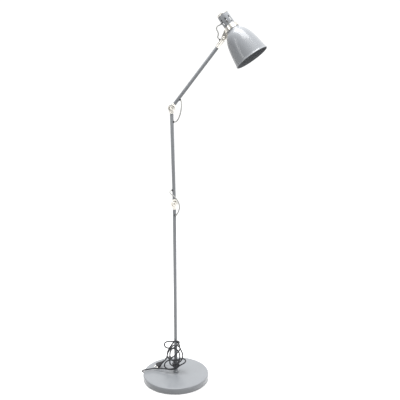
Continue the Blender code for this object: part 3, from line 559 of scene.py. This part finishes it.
TAIL_ROUTE = [
    (-0.0330, 0.1830, 0.0138),
    (-0.0400, 0.1905, 0.0100),
    (-0.0510, 0.1895, 0.0062),
    (-0.0620, 0.1800, 0.0040),
    (-0.0715, 0.1655, 0.0033),
    (-0.0810, 0.1490, 0.0033),
    (-0.0925, 0.1315, 0.0033),
    (-0.1060, 0.1150, 0.0033),
    (-0.1210, 0.0980, 0.0033),
    (-0.1340, 0.0790, 0.0033),
    (-0.1445, 0.0580, 0.0040),
    (-0.1510, 0.0410, 0.0085),
    (-0.1552, 0.0265, 0.0165),
    (-0.1568, 0.0145, 0.0260),
    (-0.1545, 0.0065, 0.0345),
    (-0.1470, 0.0035, 0.0390),
    (-0.1360, 0.0050, 0.0402),
    (-0.1240, 0.0085, 0.0407),
    (-0.1110, 0.0110, 0.0415),
    (-0.0960, 0.0100, 0.0432),
    (-0.0810, 0.0060, 0.0453),
    (-0.0660, 0.0010, 0.0475),
    (-0.0520, -0.0050, 0.0493),
    (-0.0400, -0.0095, 0.0502),
]
TANGLE_ROUTE = [
    # past the pole's foot, and the loop at the right
    (-0.0270, -0.0140, 0.0510),
    (-0.0140, -0.0180, 0.0525),
    (-0.0020, -0.0190, 0.0560),
    (0.0080, -0.0180, 0.0630),
    (0.0180, -0.0200, 0.0735),
    (0.0290, -0.0240, 0.0820),
    (0.0400, -0.0250, 0.0880),
    (0.0485, -0.0165, 0.0925),
    (0.0450, -0.0050, 0.0965),
    (0.0310, -0.0005, 0.0985),
    (0.0160, -0.0100, 0.0995),
    # across the pole to the loop at the lower left
    (0.0030, -0.0140, 0.0975),
    (-0.0100, -0.0140, 0.0980),
    (-0.0230, -0.0120, 0.0985),
    (-0.0350, -0.0140, 0.0960),
    (-0.0460, -0.0160, 0.0890),
    (-0.0530, -0.0160, 0.0750),
    (-0.0490, -0.0150, 0.0610),
    (-0.0360, -0.0170, 0.0545),
    (-0.0220, -0.0220, 0.0570),
    (-0.0090, -0.0265, 0.0620),
    # up the pole's right side
    (0.0035, -0.0260, 0.0690),
    (0.0120, -0.0230, 0.0810),
    (0.0165, -0.0200, 0.0960),
    (0.0190, -0.0150, 0.1110),
    (0.0185, -0.0110, 0.1250),
    (0.0130, -0.0120, 0.1400),
    (0.0030, -0.0140, 0.1520),
    (-0.0090, -0.0120, 0.1550),
    # the loop at the upper left
    (-0.0210, -0.0020, 0.1490),
    (-0.0330, 0.0040, 0.1450),
    (-0.0460, 0.0060, 0.1500),
    (-0.0530, 0.0040, 0.1650),
    (-0.0480, 0.0000, 0.1790),
    (-0.0325, -0.0060, 0.1870),
    (-0.0140, -0.0115, 0.1875),
    # over the front of the pole, and the outer strand down its right side
    (-0.0030, -0.0135, 0.1935),
    (0.0085, -0.0090, 0.1880),
    (0.0155, 0.0020, 0.1700),
    (0.0170, 0.0095, 0.1520),
    (0.0245, 0.0100, 0.1340),
    (0.0315, 0.0060, 0.1190),
    (0.0315, 0.0060, 0.1030),
    (0.0265, 0.0080, 0.0870),
    # round the pole's foot, then up across its front
    (0.0180, 0.0105, 0.0760),
    (0.0060, 0.0140, 0.0680),
    *spread(WOUND_TURNS, TURNS_SPREAD),
    (-0.0100, 0.0150, 0.0830),
    (-0.0205, 0.0080, 0.0870),
    (-0.0240, -0.0010, 0.0960),
    (-0.0150, -0.0090, 0.1100),
    (-0.0030, -0.0160, 0.1220),
    (0.0060, -0.0200, 0.1350),
    (0.0160, -0.0190, 0.1460),
    (0.0215, -0.0080, 0.1530),
    (0.0175, 0.0060, 0.1580),
    (0.0050, 0.0130, 0.1610),
    (-0.0090, 0.0110, 0.1610),
    # the dark strand down the left side, and the small loop below it
    (-0.0180, -0.0020, 0.1570),
    (-0.0270, -0.0090, 0.1470),
    (-0.0355, -0.0110, 0.1340),
    (-0.0400, -0.0120, 0.1200),
    (-0.0345, -0.0150, 0.1080),
    (-0.0220, -0.0200, 0.1020),
    (-0.0095, -0.0210, 0.0970),
    (-0.0010, -0.0200, 0.0860),
    (-0.0050, -0.0180, 0.0740),
    (-0.0160, -0.0150, 0.0670),
    (-0.0260, -0.0110, 0.0740),
    (-0.0280, -0.0070, 0.0890),
    (-0.0265, -0.0050, 0.1060),
    (-0.0270, -0.0040, 0.1230),
    (-0.0240, -0.0060, 0.1390),
    # the upper ring, and down the left side towards the plug
    (-0.0150, -0.0140, 0.1540),
    (-0.0030, -0.0190, 0.1660),
    (0.0100, -0.0150, 0.1750),
    (0.0175, -0.0020, 0.1790),
    (0.0110, 0.0120, 0.1800),
    (-0.0040, 0.0150, 0.1770),
    (-0.0150, 0.0060, 0.1700),
    (-0.0215, -0.0020, 0.1600),
    (-0.0275, 0.0000, 0.1500),
    (-0.0329, 0.0060, 0.1410),
    (-0.0369, 0.0140, 0.1295),
]
END_ROUTE = [
    (-0.0394, 0.0240, 0.1167),
    (-0.0412, 0.0340, 0.1032),
    (-0.0425, 0.0440, 0.0908),
    (-0.0446, 0.0520, 0.0794),
    (-0.0475, 0.0570, 0.0697),
    (-0.0513, 0.0567, 0.0622),
]
PLUG_FACE = Vector((-0.0893, 0.0340, 0.0430))
PLUG_BACK = Vector((-0.0575, 0.0530, 0.0590))
PLUG_ROLL = math.radians(37)
PLUG_SECTIONS = [  # distance from the face, half width, half thickness
    (0.0000, 0.0120, 0.0062),
    (0.0015, 0.0130, 0.0070),
    (0.0075, 0.0130, 0.0072),
    (0.0160, 0.0106, 0.0067),
    (0.0240, 0.0070, 0.0057),
    (0.0310, 0.0050, 0.0048),
    (0.0400, 0.0040, 0.0040),
]
PIN_R = 0.0020
PIN_SPREAD = 0.0060
PIN_OUT = 0.0150
PIN_IN = 0.0040


def base_top(radius):
    """Height of the base's slightly domed top, by distance from the pole."""
    return BASE_H + (BASE_CROWN - BASE_H) * (1 - np.clip(radius / BASE_R, 0, 1) ** 2)


def settle(path, held):
    """Lets the wound cord take its room.

    Stretches that lie in each other or in the pole push apart, sharp bends open, and the line
    stays near the way it was laid. Points whose held value is 0 stay put.
    """
    laid = path.copy()
    apart = 2 * CORD_R + 0.0004
    tight = CORD_STEP**2 / (2 * 5.4 * CORD_R)
    first, second = np.triu_indices(len(path), round(6.4 * CORD_R / CORD_STEP))
    for _ in range(300):
        between = path[second] - path[first]
        far = np.linalg.norm(between, axis=1)
        close = far < apart
        push = between[close] * ((apart / np.maximum(far[close], 1e-6) - 1) * 0.5)[:, None]
        move = np.zeros_like(path)
        np.add.at(move, first[close], -push)
        np.add.at(move, second[close], push)
        middle = 0.5 * (path[2:] + path[:-2]) - path[1:-1]
        sharp = np.linalg.norm(middle, axis=1) > tight
        move[1:-1] += middle * np.where(sharp, 0.5, 0.06)[:, None]
        move += (laid - path) * 0.012
        path = path + move * held[:, None]
        radius = np.linalg.norm(path[:, :2], axis=1)
        room = np.where(path[:, 2] < COLLAR_TOP + CORD_R, COLLAR_R, TUBE_R) + CORD_R + 0.0004
        inside = (radius < room) & (held > 0)
        path[:, :2] *= np.where(inside, room / np.maximum(radius, 1e-6), 1.0)[:, None]
        floor = base_top(radius) + CORD_R + 0.0003
        low = (radius < BASE_R) & (held > 0) & (path[:, 2] < floor)
        path[:, 2] = np.where(low, floor, path[:, 2])
    return path


def plug_matrix(turned):
    """The plug's frame: origin on its face, Z back along the body, X across its width."""
    back = (turned @ PLUG_BACK - turned @ PLUG_FACE).normalized()
    level = Vector((0, 0, 1)).cross(back).normalized()
    across = Matrix.Rotation(PLUG_ROLL, 3, back) @ level
    matrix = Matrix((across, back.cross(across), back)).transposed().to_4x4()
    matrix.translation = turned @ PLUG_FACE
    return matrix


def cord_path(plug, turned):
    """The centreline of the whole mains cord, from the gland to the plug."""
    away = Vector((math.cos(GLAND_ANGLE), math.sin(GLAND_ANGLE), 0))
    mouth = BASE_R + GLAND_LENGTH + GAP
    route = [away * reach + Vector((0, 0, GLAND_Z)) for reach in (mouth, mouth + 0.002)]
    route += [turned @ Vector(p) for p in TAIL_ROUTE + TANGLE_ROUTE + END_ROUTE]
    tip = PLUG_SECTIONS[-1][0] + GAP
    route += [plug @ Vector((0, 0, reach)) for reach in (tip + 0.004, tip)]
    path = evenly(catmull(route, 0.0015), CORD_STEP)
    start, end = (np.array(turned @ Vector(p)) for p in (TAIL_ROUTE[-3], END_ROUTE[2]))
    low = int(np.argmin(np.linalg.norm(path - start, axis=1)))
    high = int(np.argmin(np.linalg.norm(path - end, axis=1)))
    held = np.zeros(len(path))
    ramp = np.linspace(0, 1, 12)
    held[low:high] = 1.0
    held[low : low + 12] = ramp
    held[high - 12 : high] = ramp[::-1]
    return settle(path, held)


def plug_body():
    """The moulded plug: a lofted body with grip ribs on its two flat sides."""
    heights = [s[0] for s in PLUG_SECTIONS]
    fine = sorted(set([round(h, 5) for h in np.linspace(0, heights[-1], 61)]))
    bm = bmesh.new()
    rings = []
    for height in fine:
        wide = np.interp(height, heights, [s[1] for s in PLUG_SECTIONS])
        thick = np.interp(height, heights, [s[2] for s in PLUG_SECTIONS])
        near = min(height, 0.0012) / 0.0012
        wide -= 0.0008 * (1 - math.sqrt(1 - (1 - near) ** 2))
        thick -= 0.0008 * (1 - math.sqrt(1 - (1 - near) ** 2))
        rib = 0.5 - 0.5 * math.cos(2 * math.pi * (height - 0.0100) / 0.0032)
        rib *= 0.0006 if 0.0100 < height < 0.0228 else 0
        section = []
        for i in range(64):
            angle = 2 * math.pi * i / 64
            c, s = math.cos(angle), math.sin(angle)
            x = math.copysign(abs(c) ** 0.7, c) * wide
            y = math.copysign(abs(s) ** 0.7, s) * (thick - rib * abs(s) ** 3)
            section.append(bm.verts.new((x, y, height)))
        rings.append(section)
    for low, high in zip(rings, rings[1:]):
        for i in range(64):
            j = (i + 1) % 64
            bm.faces.new((low[i], low[j], high[j], high[i]))
    bm.faces.new(rings[0])
    bm.faces.new(rings[-1])
    return bm


def make_mains_cord():
    turned = Matrix.Rotation(CORD_TURN, 4, "Z")
    plug = plug_matrix(turned)
    body = mesh_object("blank", plug_body(), plug, [])
    for side, node in ((-1, "plug_pin_left"), (1, "plug_pin_right")):
        spot = plug @ at(side * PIN_SPREAD, 0, 0)
        boolean(body, rod(PIN_R + GAP, -0.01, PIN_IN + GAP), spot)
        pin = [(0, -PIN_OUT), (PIN_R, -PIN_OUT), (PIN_R, PIN_IN), (0, PIN_IN)]
        show(node, revolve(rounded(pin, 0.0011, 6, False), 32), spot)
    plug_piece = show("plug_body", applied(body), plug)

    path = cord_path(plug, turned)
    cord = lead_curve("mains_cord", path, CORD_R, "black_cord")
    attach(cord, "base")
    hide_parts("cord_tail", "cord_bundle", "cord_end")

    bore = CORD_R + GAP
    wall = BASE_R - COVER_WALL
    profile = [(bore, wall - 0.0045), (0.0054, wall - 0.0045), (0.0057, wall - 0.0015)]
    profile += [(0.0057, BASE_R + GAP), (0.0078, BASE_R + GAP), (0.0078, BASE_R + 0.0025)]
    profile += [(0.0062, BASE_R + 0.0040)]
    for rib in range(5):
        reach = BASE_R + 0.0055 + 0.0036 * rib
        size = 0.0060 - 0.00036 * rib
        profile += [(size, reach), (size - 0.0009, reach + 0.0005)]
        profile += [(size - 0.0010, reach + 0.0016), (size - 0.0003, reach + 0.0021)]
    profile += [(0.0043, BASE_R + GLAND_LENGTH), (bore, BASE_R + GLAND_LENGTH)]
    gland = show("cord_gland", revolve(rounded(profile, 0.0003), 48), outward(GLAND_Z, GLAND_ANGLE))


# ---------------------------------------------------------------- shared pieces


def pole_tube(node, low, high, holes, matrix=WORLD):
    """A tube along Z with a round hole in its wall at each (height, angle)."""
    profile = [(TUBE_BORE, low), (TUBE_R, low), (TUBE_R, high), (TUBE_BORE, high)]
    body = blank(revolve(rounded(profile, 0.0003, 2), 64), matrix)
    for height, angle in holes:
        boolean(body, rod(GROMMET_HOLE, 0, 2 * TUBE_R, 40), matrix @ outward(height, angle))
    return show(node, applied(body), matrix)


def grommet(node, height, angle, matrix=WORLD, surface=TUBE_R):
    """A rubber ring with a flange outside and a waist through the wall."""
    bore = LEAD_R + GAP
    waist = GROMMET_HOLE - GAP
    profile = [
        (bore, surface - 0.0020),
        (waist, surface - 0.0020),
        (waist, surface + GAP),
        (GROMMET_R, surface + GAP),
        (GROMMET_R - 0.0006, surface + 0.0026),
        (bore, surface + 0.0034),
    ]
    return show(node, revolve(rounded(profile, 0.0008, 4), 48), matrix @ outward(height, angle))


def half_knuckle(node, side, way, matrix):
    """One half of a clamped joint: a disc on one side of the parting plane, and its ferrule."""
    neck = math.degrees(math.asin(FERRULE_R / DISC_R))
    outline = arc((0, 0), DISC_R, -90 + neck, 270 - neck, 56)
    outline += [(-FERRULE_R, -SOCKET_START + 0.0008), (FERRULE_R, -SOCKET_START + 0.0008)]
    outline = [(x, -way * z) for x, z in outline]
    low, high = sorted((side * DISC_INNER, side * DISC_OUTER))
    body = blank(extrude(outline, low, high), matrix)
    profile = [
        (0, FERRULE_START),
        (FERRULE_R - 0.0008, FERRULE_START),
        (FERRULE_R, FERRULE_START + 0.0008),
        (FERRULE_R, FERRULE_END - 0.0012),
        (FERRULE_R - 0.0008, FERRULE_END),
        (TUBE_R + GAP, FERRULE_END),
        (TUBE_R + GAP, SOCKET_START),
        (0, SOCKET_START),
    ]
    profile = [(radius, way * height) for radius, height in profile]
    boolean(body, revolve(profile, 64), matrix, "UNION")
    boolean(body, rod(BOLT_BORE, -0.02, 0.02, 40), matrix @ ALONG_Y)
    if side < 0:
        cup = ring(BOLT_BORE / 2, CUP_R, -0.02, CUP_DEPTH - DISC_OUTER, 64)
        boolean(body, cup, matrix @ ALONG_Y)
    return show(node, cast(body, 0.00040, 3), matrix)


def bolt(node, face, end, matrix):
    """A domed clamp bolt along Y with a screwdriver slot, its head bearing on Y = face."""
    seat = face - GAP
    dome = [(BOLT_HEAD_R * math.cos(t), seat - 0.0018 - 0.0025 * math.sin(t))
            for t in np.linspace(0, math.pi / 2, 12)]
    profile = [(0, end), (BOLT_R, end), (BOLT_R, seat), (BOLT_HEAD_R, seat)] + dome[:-1]
    profile += [(0, dome[-1][1])]
    body = blank(revolve(rounded(profile, 0.0003, 2, False), 48), matrix @ ALONG_Y)
    low = seat - 0.0060
    floor, half = seat - 0.0030, 0.0006
    slot = extrude([(-half, low), (half, low), (half, floor), (-half, floor)], -0.01, 0.01)
    boolean(body, slot, matrix @ ALONG_Y @ Matrix.Rotation(math.radians(35), 4, "Z"))
    return show(node, applied(body), matrix @ ALONG_Y)


def wing_knob(node, face, matrix):
    """A cast wing knob on a clamp bolt."""
    profile = [
        (BOLT_BORE, 0),
        (0.0068, 0),
        (0.0068, 0.0015),
        (0.0056, KNOB_HUB),
        (0.0042, KNOB_HUB + 0.0016),
        (0, KNOB_HUB + 0.0020),
        (0, KNOB_HUB - 0.0006),
        (BOLT_BORE, KNOB_HUB - 0.0006),
    ]
    turned = matrix @ at(0, face + GAP, 0) @ ALONG_Y
    body = blank(revolve(profile, 48), turned)
    for side in (-1, 1):
        tip = (WING_REACH - 0.0045, WING_RISE - 0.0010)
        outline = [(0.0038, 0.0022), (0.0085, 0.0030)]
        outline += arc(tip, 0.0045, -40, 130, 24)
        outline += [(0.0038, KNOB_HUB)]
        outline = [(side * x, z) for x, z in outline]
        boolean(body, extrude(outline, -WING_T / 2, WING_T / 2), turned, "UNION")
    return show(node, cast(body, 0.00038, 5), turned)


# ---------------------------------------------------------------- base and pole


def make_base():
    shoulder = 0.0045
    hole = TUBE_R + GAP
    outer = [(BASE_R - 0.0006, PAD_H + GAP), (BASE_R, PAD_H + 0.0015)]
    for height, radius in arc((BASE_H - shoulder, BASE_R - shoulder), shoulder, 90, 0, 16):
        outer.append((radius, height))
    crown = [(share * BASE_R, base_top(share * BASE_R)) for share in np.linspace(0.95, 0.08, 30)]
    outer += crown + [(hole, BASE_CROWN)]
    inner = [(hole, BASE_CROWN - COVER_WALL)]
    inner += [(radius, height - COVER_WALL) for radius, height in reversed(crown[::3])]
    inner += [
        (BASE_R - shoulder, BASE_H - COVER_WALL),
        (BASE_R - COVER_WALL, BASE_H - shoulder),
        (BASE_R - COVER_WALL, PAD_H + GAP),
    ]
    cover = blank(revolve(outer + inner, 192))
    boolean(cover, rod(0.0060, BASE_R - 0.01, BASE_R + 0.01, 48), outward(GLAND_Z, GLAND_ANGLE))
    show("base_cover", applied(cover))


def make_pole():
    loop_z = ELBOW_Z - ELBOW_LOOP_DOWN[0]
    holes = [(0.0175, GLAND_ANGLE), (loop_z, ELBOW_LOOP_DOWN[1])]
    pole_tube("lower_tube", PAD_H + 0.0030, ELBOW_Z - SOCKET_START - GAP, holes)
    foot = BASE_CROWN + GAP
    collar = [
        (TUBE_R + GAP, foot),
        (COLLAR_R, foot),
        (COLLAR_R, foot + 0.0030),
        (0.0100, foot + 0.0070),
        (TUBE_R + GAP, foot + 0.0076),
    ]
    show("pole_collar", revolve(rounded(collar, 0.0010, 5), 72))
    grommet("lower_grommet", *holes[1])
    half_knuckle("elbow_lower_knuckle", -1, -1, ELBOW)

    low, high = ELBOW_LOOP_UP[0], UPPER_LENGTH - SHOULDER_LOOP_DOWN[0]
    holes = [(low, ELBOW_LOOP_UP[1]), (high, SHOULDER_LOOP_DOWN[1])]
    half_knuckle("elbow_upper_knuckle", 1, 1, UPPER)
    pole_tube("upper_tube", SOCKET_START + GAP, UPPER_LENGTH - SOCKET_START - GAP, holes, UPPER)
    half_knuckle("shoulder_lower_knuckle", -1, -1, UPPER @ at(0, 0, UPPER_LENGTH))
    grommet("upper_grommet_low", *holes[0], UPPER)
    grommet("upper_grommet_high", *holes[1], UPPER)


def make_arm():
    half_knuckle("shoulder_upper_knuckle", 1, 1, ARM)
    arm_end = ARM_LENGTH - HEAD_SOCKET - GAP
    pole_tube("arm_tube", SOCKET_START + GAP, arm_end, [SHOULDER_LOOP_UP], ARM)
    grommet("arm_grommet_low", *SHOULDER_LOOP_UP, ARM)
    down, angle = HEAD_LOOP_DOWN
    grommet("arm_grommet_high", ARM_LENGTH - down, angle, ARM, HEAD_FERRULE_R)

    top = ARM @ at(0, 0, ARM_LENGTH)
    start, end = HEAD_FERRULE
    neck = math.degrees(math.asin(TONGUE_NECK / TONGUE_R))
    outline = arc((0, 0), TONGUE_R, -90 + neck, 270 - neck, 48)
    outline += [(-TONGUE_NECK, -start - 0.0018), (TONGUE_NECK, -start - 0.0018)]
    body = blank(extrude(outline, -TONGUE_HALF, TONGUE_HALF), top)
    profile = [
        (0, -start),
        (HEAD_FERRULE_R - 0.001, -start),
        (HEAD_FERRULE_R, -start - 0.001),
        (HEAD_FERRULE_R, -end + 0.0015),
        (HEAD_FERRULE_R - 0.001, -end),
        (TUBE_R + GAP, -end),
        (TUBE_R + GAP, -HEAD_SOCKET),
        (0.0056, -HEAD_SOCKET),
        (0.0056, -start - 0.0030),
        (0, -start - 0.0030),
    ]
    boolean(body, revolve(profile, 64), top, "UNION")
    boolean(body, rod(BOLT_BORE, -0.02, 0.02, 40), top @ ALONG_Y)
    boolean(body, rod(GROMMET_HOLE, 0, 0.02, 40), ARM @ outward(ARM_LENGTH - down, angle))
    show("head_knuckle", cast(body, 0.00042, 3), top)


def make_clamps():
    """The bolts and wing knobs of the three joints."""
    head_face = DISC_OUTER - CUP_DEPTH
    thread = GAP + KNOB_HUB - 0.0012
    for joint, matrix in (("elbow", UPPER), ("shoulder", ARM)):
        bolt(f"{joint}_bolt", -head_face, DISC_OUTER + thread, matrix)
        wing_knob(f"{joint}_knob", DISC_OUTER, matrix)
    bolt("head_bolt", -LEG_OUTER, LEG_OUTER + thread, HEAD)
    wing_knob("head_knob", LEG_OUTER, HEAD)


# ---------------------------------------------------------------- head


def neck_radius(height):
    """The outside of the shade's conical neck."""
    share = (height - NECK_LOW.y) / (NECK_TOP.y - NECK_LOW.y)
    return NECK_LOW.x + share * (NECK_TOP.x - NECK_LOW.x)


def bell(steps, offset=0.0):
    """The bell's outline from the rim up to the neck, moved inwards by an offset."""
    start = Vector((RIM_R, RIM_Z + 2 * BEAD_R))
    low, high = BELL_HANDLES
    points = []
    for i in range(steps + 1):
        t = i / steps
        u = 1 - t
        point = u**3 * start + 3 * u * u * t * low + 3 * u * t * t * high + t**3 * BELL_TOP
        slope = u * u * (low - start) + 2 * u * t * (high - low) + t * t * (BELL_TOP - high)
        points.append(tuple(point + offset * Vector((-slope.y, slope.x)).normalized()))
    return points


def make_shade():
    bead = arc((RIM_R, RIM_Z + BEAD_R), BEAD_R, 130, 410, 14)
    outer = bell(40)[1:] + rounded([tuple(NECK_LOW), tuple(NECK_TOP)], closed=False)
    inner = [(NECK_TOP.x - SHADE_WALL, NECK_TOP.y), (NECK_LOW.x - SHADE_WALL, NECK_LOW.y)]
    inner += bell(40, SHADE_WALL)[-2:0:-1]
    profile = bead + outer + inner
    bands = (len(bead + outer), len(profile) - 1)
    # The inside bands take the darker copy of the grey paint, which is painted shade
    show("shade", revolve(profile, 144, bands), RIM, ["satin_grey_paint", "lampshade_inside_painted_shade"])


def make_housing():
    seam = NECK_TOP.y + GAP
    profile = [
        (SPIGOT_R - HOUSING_WALL, SPIGOT_LOW),
        (SPIGOT_R, SPIGOT_LOW),
        (SPIGOT_R, seam),
        (HOUSING_R, seam),
        (HOUSING_R, HOUSING_TOP),
        (HOUSING_R - HOUSING_WALL, HOUSING_TOP),
        (HOUSING_R - HOUSING_WALL, seam + 0.0013),
        (SPIGOT_R - HOUSING_WALL, seam - 0.0008),
    ]
    body = blank(revolve(rounded(profile, 0.0004), 144), RIM)
    half = SLOT_W / 2
    outline = arc((0, SLOT_HIGH - half), half, 0, 180, 12)
    outline += arc((0, SLOT_LOW + half), half, 180, 360, 12)
    for number in range(SLOTS // 2):
        turn = Matrix.Rotation(SLOT_TURN + 2 * math.pi / SLOTS * number, 4, "Z")
        boolean(body, extrude(outline, -0.03, 0.03), RIM @ turn)
    height, angle = HEAD_LOOP_UP
    boolean(body, rod(GROMMET_HOLE, 0.015, 0.03, 40), RIM @ outward(height, angle))
    show("socket_housing", applied(body), RIM)
    grommet("housing_grommet", height, angle, RIM, HOUSING_R)

    skirt = HOUSING_R - HOUSING_WALL - GAP
    cap = [
        (skirt - 0.0011, 0.1970),
        (skirt, 0.1970),
        (skirt, HOUSING_TOP + GAP),
        (0.0241, HOUSING_TOP + GAP),
        (0.0241, 0.2038),
        (0.0226, 0.2072),
        (0.0170, 0.2099),
        (BUTTON_R + 2 * GAP, CAP_TOP),
        (BUTTON_R + 2 * GAP, CAP_TOP - 0.0013),
        (0.0162, 0.2085),
        (0.0205, 0.2060),
        (skirt - 0.0011, 0.2030),
    ]
    show("rear_cap", revolve(rounded(cap, 0.0014, 6), 128), RIM, ["nickel_rings"])
    button = [
        (0, 0.2025),
        (0.0080, 0.2025),
        (0.0080, 0.2045),
        (BUTTON_R, 0.2050),
        (BUTTON_R, CAP_TOP + 0.0020),
        (BUTTON_R - 0.0012, CAP_TOP + 0.0028),
        (0, CAP_TOP + 0.0032),
    ]
    show("switch_button", revolve(rounded(button, 0.0007, 4, False), 64), RIM)


def tangent_angle(centre, point, side):
    """Where a line from the point touches the leg's disc, in degrees."""
    away = point - centre
    spread = math.acos(LEG_DISC_R / away.length)
    return math.degrees(math.atan2(away.y, away.x) + side * spread)


def make_strap():
    """The plated strap round the neck, whose two legs fork round the arm's tongue."""
    slack = 0.0004
    profile = []
    for height, thickness in (
        (STRAP_LOW, 0),
        (STRAP_LOW, STRAP_T),
        (STRAP_HIGH, STRAP_T),
        (STRAP_HIGH, 0),
    ):
        profile.append((neck_radius(height) + slack + thickness, height))
    body = blank(revolve(profile, 128), RIM)
    pivot = Vector((-PIVOT_OFFSET, PIVOT_UP))
    low = Vector((-neck_radius(STRAP_LOW) + 0.0005, STRAP_LOW))
    high = Vector((-neck_radius(STRAP_HIGH) + 0.0007, STRAP_HIGH))
    outline = [tuple(low), tuple(high)]
    start, end = tangent_angle(pivot, high, 1), tangent_angle(pivot, low, -1) + 360
    outline += arc(pivot, LEG_DISC_R, start, end, 40)
    for side in (-1, 1):
        near, far = sorted((side * LEG_INNER, side * LEG_OUTER))
        boolean(body, extrude(outline, near, far), RIM, "UNION")
    boolean(body, rod(BOLT_BORE, -0.02, 0.02, 40), RIM @ at(pivot.x, 0, pivot.y) @ ALONG_Y)
    boolean(body, revolve([(0, 0.12), (neck_radius(0.12) + slack, 0.12),
                           (neck_radius(0.16) + slack, 0.16), (0, 0.16)], 128), RIM)
    show("neck_strap", cast(body, 0.00045, 2), RIM)


def make_lamp():
    """The lampholder, and the bulb with its threaded cap."""
    holder = [
        (HOLDER_MOUTH, HOLDER_LOW),
        (HOLDER_R - 0.0008, HOLDER_LOW),
        (HOLDER_R, HOLDER_LOW + 0.0008),
        (HOLDER_R, HOLDER_TOP - 0.0080),
        (HOLDER_R - 0.0070, HOLDER_TOP),
        (0, HOLDER_TOP),
        (0, 0.1560),
        (HOLDER_MOUTH, 0.1560),
    ]
    show("lampholder", revolve(rounded(holder, 0.0010, 4, False), 96), RIM)
    shell = [(HOLDER_MOUTH - GAP, 0.1550), (HOLDER_MOUTH - GAP, 0.1290)]
    for turn in range(29):
        ripple = 0.0002 * math.cos(math.pi * turn / 2)
        shell.append((CAP_SHELL_R + 1.5 * GAP + ripple, 0.1290 + 0.026 * turn / 28))
    show("thread_shell", revolve(shell, 96), RIM)
    cap = [(0, 0.1508), (0.0060, 0.1508), (CAP_SHELL_R - CAP_WALL - 0.0004, 0.1480),
           (CAP_SHELL_R - CAP_WALL - 0.0004, BULB_CAP_LOW)]
    for turn in range(45):
        wave = 0.0002 * math.cos(math.pi * turn / 4) if 4 < turn < 42 else 0
        cap.append((CAP_SHELL_R - 0.0002 + wave, BULB_CAP_LOW + 0.0222 * turn / 44))
    cap += [(0.0060, 0.1525), (0.0045, 0.1540), (0, 0.1540)]
    show("bulb_cap", revolve(cap, 96), RIM)
    glass = []
    for inset in (0, BULB_WALL):
        side = [(0, BULB_CENTRE - BULB_R + inset)]
        side += arc((0, BULB_CENTRE), BULB_R - inset, -86, 35, 40)
        side += [(0.0210 - inset, 0.0975), (0.0175 - inset, 0.1060), (0.0150 - inset, 0.1130)]
        side += [(0.0135 - inset, 0.1190), (0.0127 - inset, BULB_CAP_LOW - GAP)]
        glass += reversed(side) if inset else side
    show("bulb_glass", revolve(glass, 96), RIM)


# ---------------------------------------------------------------- joint loops


def stub(matrix, height, angle, surface=TUBE_R, start=0.0):
    """The two ends of a lead's straight stretch out through a grommet."""
    away = Vector((math.cos(angle), math.sin(angle), 0))
    ends = (start, surface + STUB)
    return [matrix @ (away * reach + Vector((0, 0, height))) for reach in ends]


def free(matrix, points):
    """Route points given from a joint's axis, in upright axes."""
    return [matrix.translation + Vector(p) for p in points]


def loop(node, route):
    """A lead across a joint, laid as a curved tube between its two bodies."""
    curve = lead_curve("loop", evenly(catmull(route, 0.0010), 0.0012), LEAD_R, SLOT_OF[node])
    bm = bmesh.new()
    bpy.context.view_layer.update()
    bm.from_mesh(curve.to_mesh())
    bpy.data.objects.remove(curve, do_unlink=True)
    bmesh.ops.remove_doubles(bm, verts=bm.verts, dist=1e-6)
    piece = mesh_object(f"{node}_look", bm, WORLD, [MATERIALS[SLOT_OF[node]]])
    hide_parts(node)
    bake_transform(piece)


def make_loops():
    """The lead's three loops. Each leaves one tube by its grommet and enters the next."""
    route = stub(UPPER, *ELBOW_LOOP_UP)
    route += free(UPPER, [
        (-0.0128, -0.0150, 0.0598),
        (-0.0115, -0.0212, 0.0545),
        (-0.0030, -0.0236, 0.0472),
        (0.0090, -0.0226, 0.0385),
        (0.0210, -0.0206, 0.0250),
        (0.0290, -0.0190, 0.0085),
        (0.0305, -0.0175, -0.0095),
        (0.0265, -0.0164, -0.0250),
        (0.0200, -0.0154, -0.0375),
        (0.0135, -0.0130, -0.0452),
    ])
    route += reversed(stub(ELBOW, -ELBOW_LOOP_DOWN[0], ELBOW_LOOP_DOWN[1]))
    loop("elbow_loop", route)

    route = stub(UPPER, UPPER_LENGTH - SHOULDER_LOOP_DOWN[0], SHOULDER_LOOP_DOWN[1])
    route += free(ARM, [
        (0.0210, -0.0020, -0.0560),
        (0.0300, -0.0050, -0.0480),
        (0.0385, -0.0080, -0.0340),
        (0.0445, -0.0095, -0.0170),
        (0.0478, -0.0090, 0.0010),
        (0.0480, -0.0060, 0.0160),
        (0.0455, -0.0020, 0.0265),
    ])
    route += reversed(stub(ARM, *SHOULDER_LOOP_UP))
    loop("shoulder_loop", route)

    route = stub(RIM, *HEAD_LOOP_UP, HOUSING_R, HOUSING_R - 0.0057)
    route += free(HEAD, [
        (-0.0235, 0.0035, 0.0485),
        (-0.0305, 0.0015, 0.0450),
        (-0.0345, 0, 0.0390),
        (-0.0340, 0, 0.0320),
        (-0.0300, 0, 0.0245),
        (-0.0270, 0, 0.0165),
        (-0.0280, 0, 0.0080),
        (-0.0295, 0, 0.0020),
    ])
    route += reversed(stub(ARM, ARM_LENGTH - HEAD_LOOP_DOWN[0], HEAD_LOOP_DOWN[1], HEAD_FERRULE_R))
    loop("head_loop", route)


# ---------------------------------------------------------------- all of it

MATERIALS = make_materials()
make_camera()
make_studio()
make_mains_cord()
make_base()
make_pole()
make_arm()
make_clamps()
make_shade()
make_housing()
make_strap()
make_lamp()
make_loops()
for node, cad in frame["nodes"].items():
    for slot in cad.material_slots:
        slot.material = MATERIALS[SLOT_OF[node]]
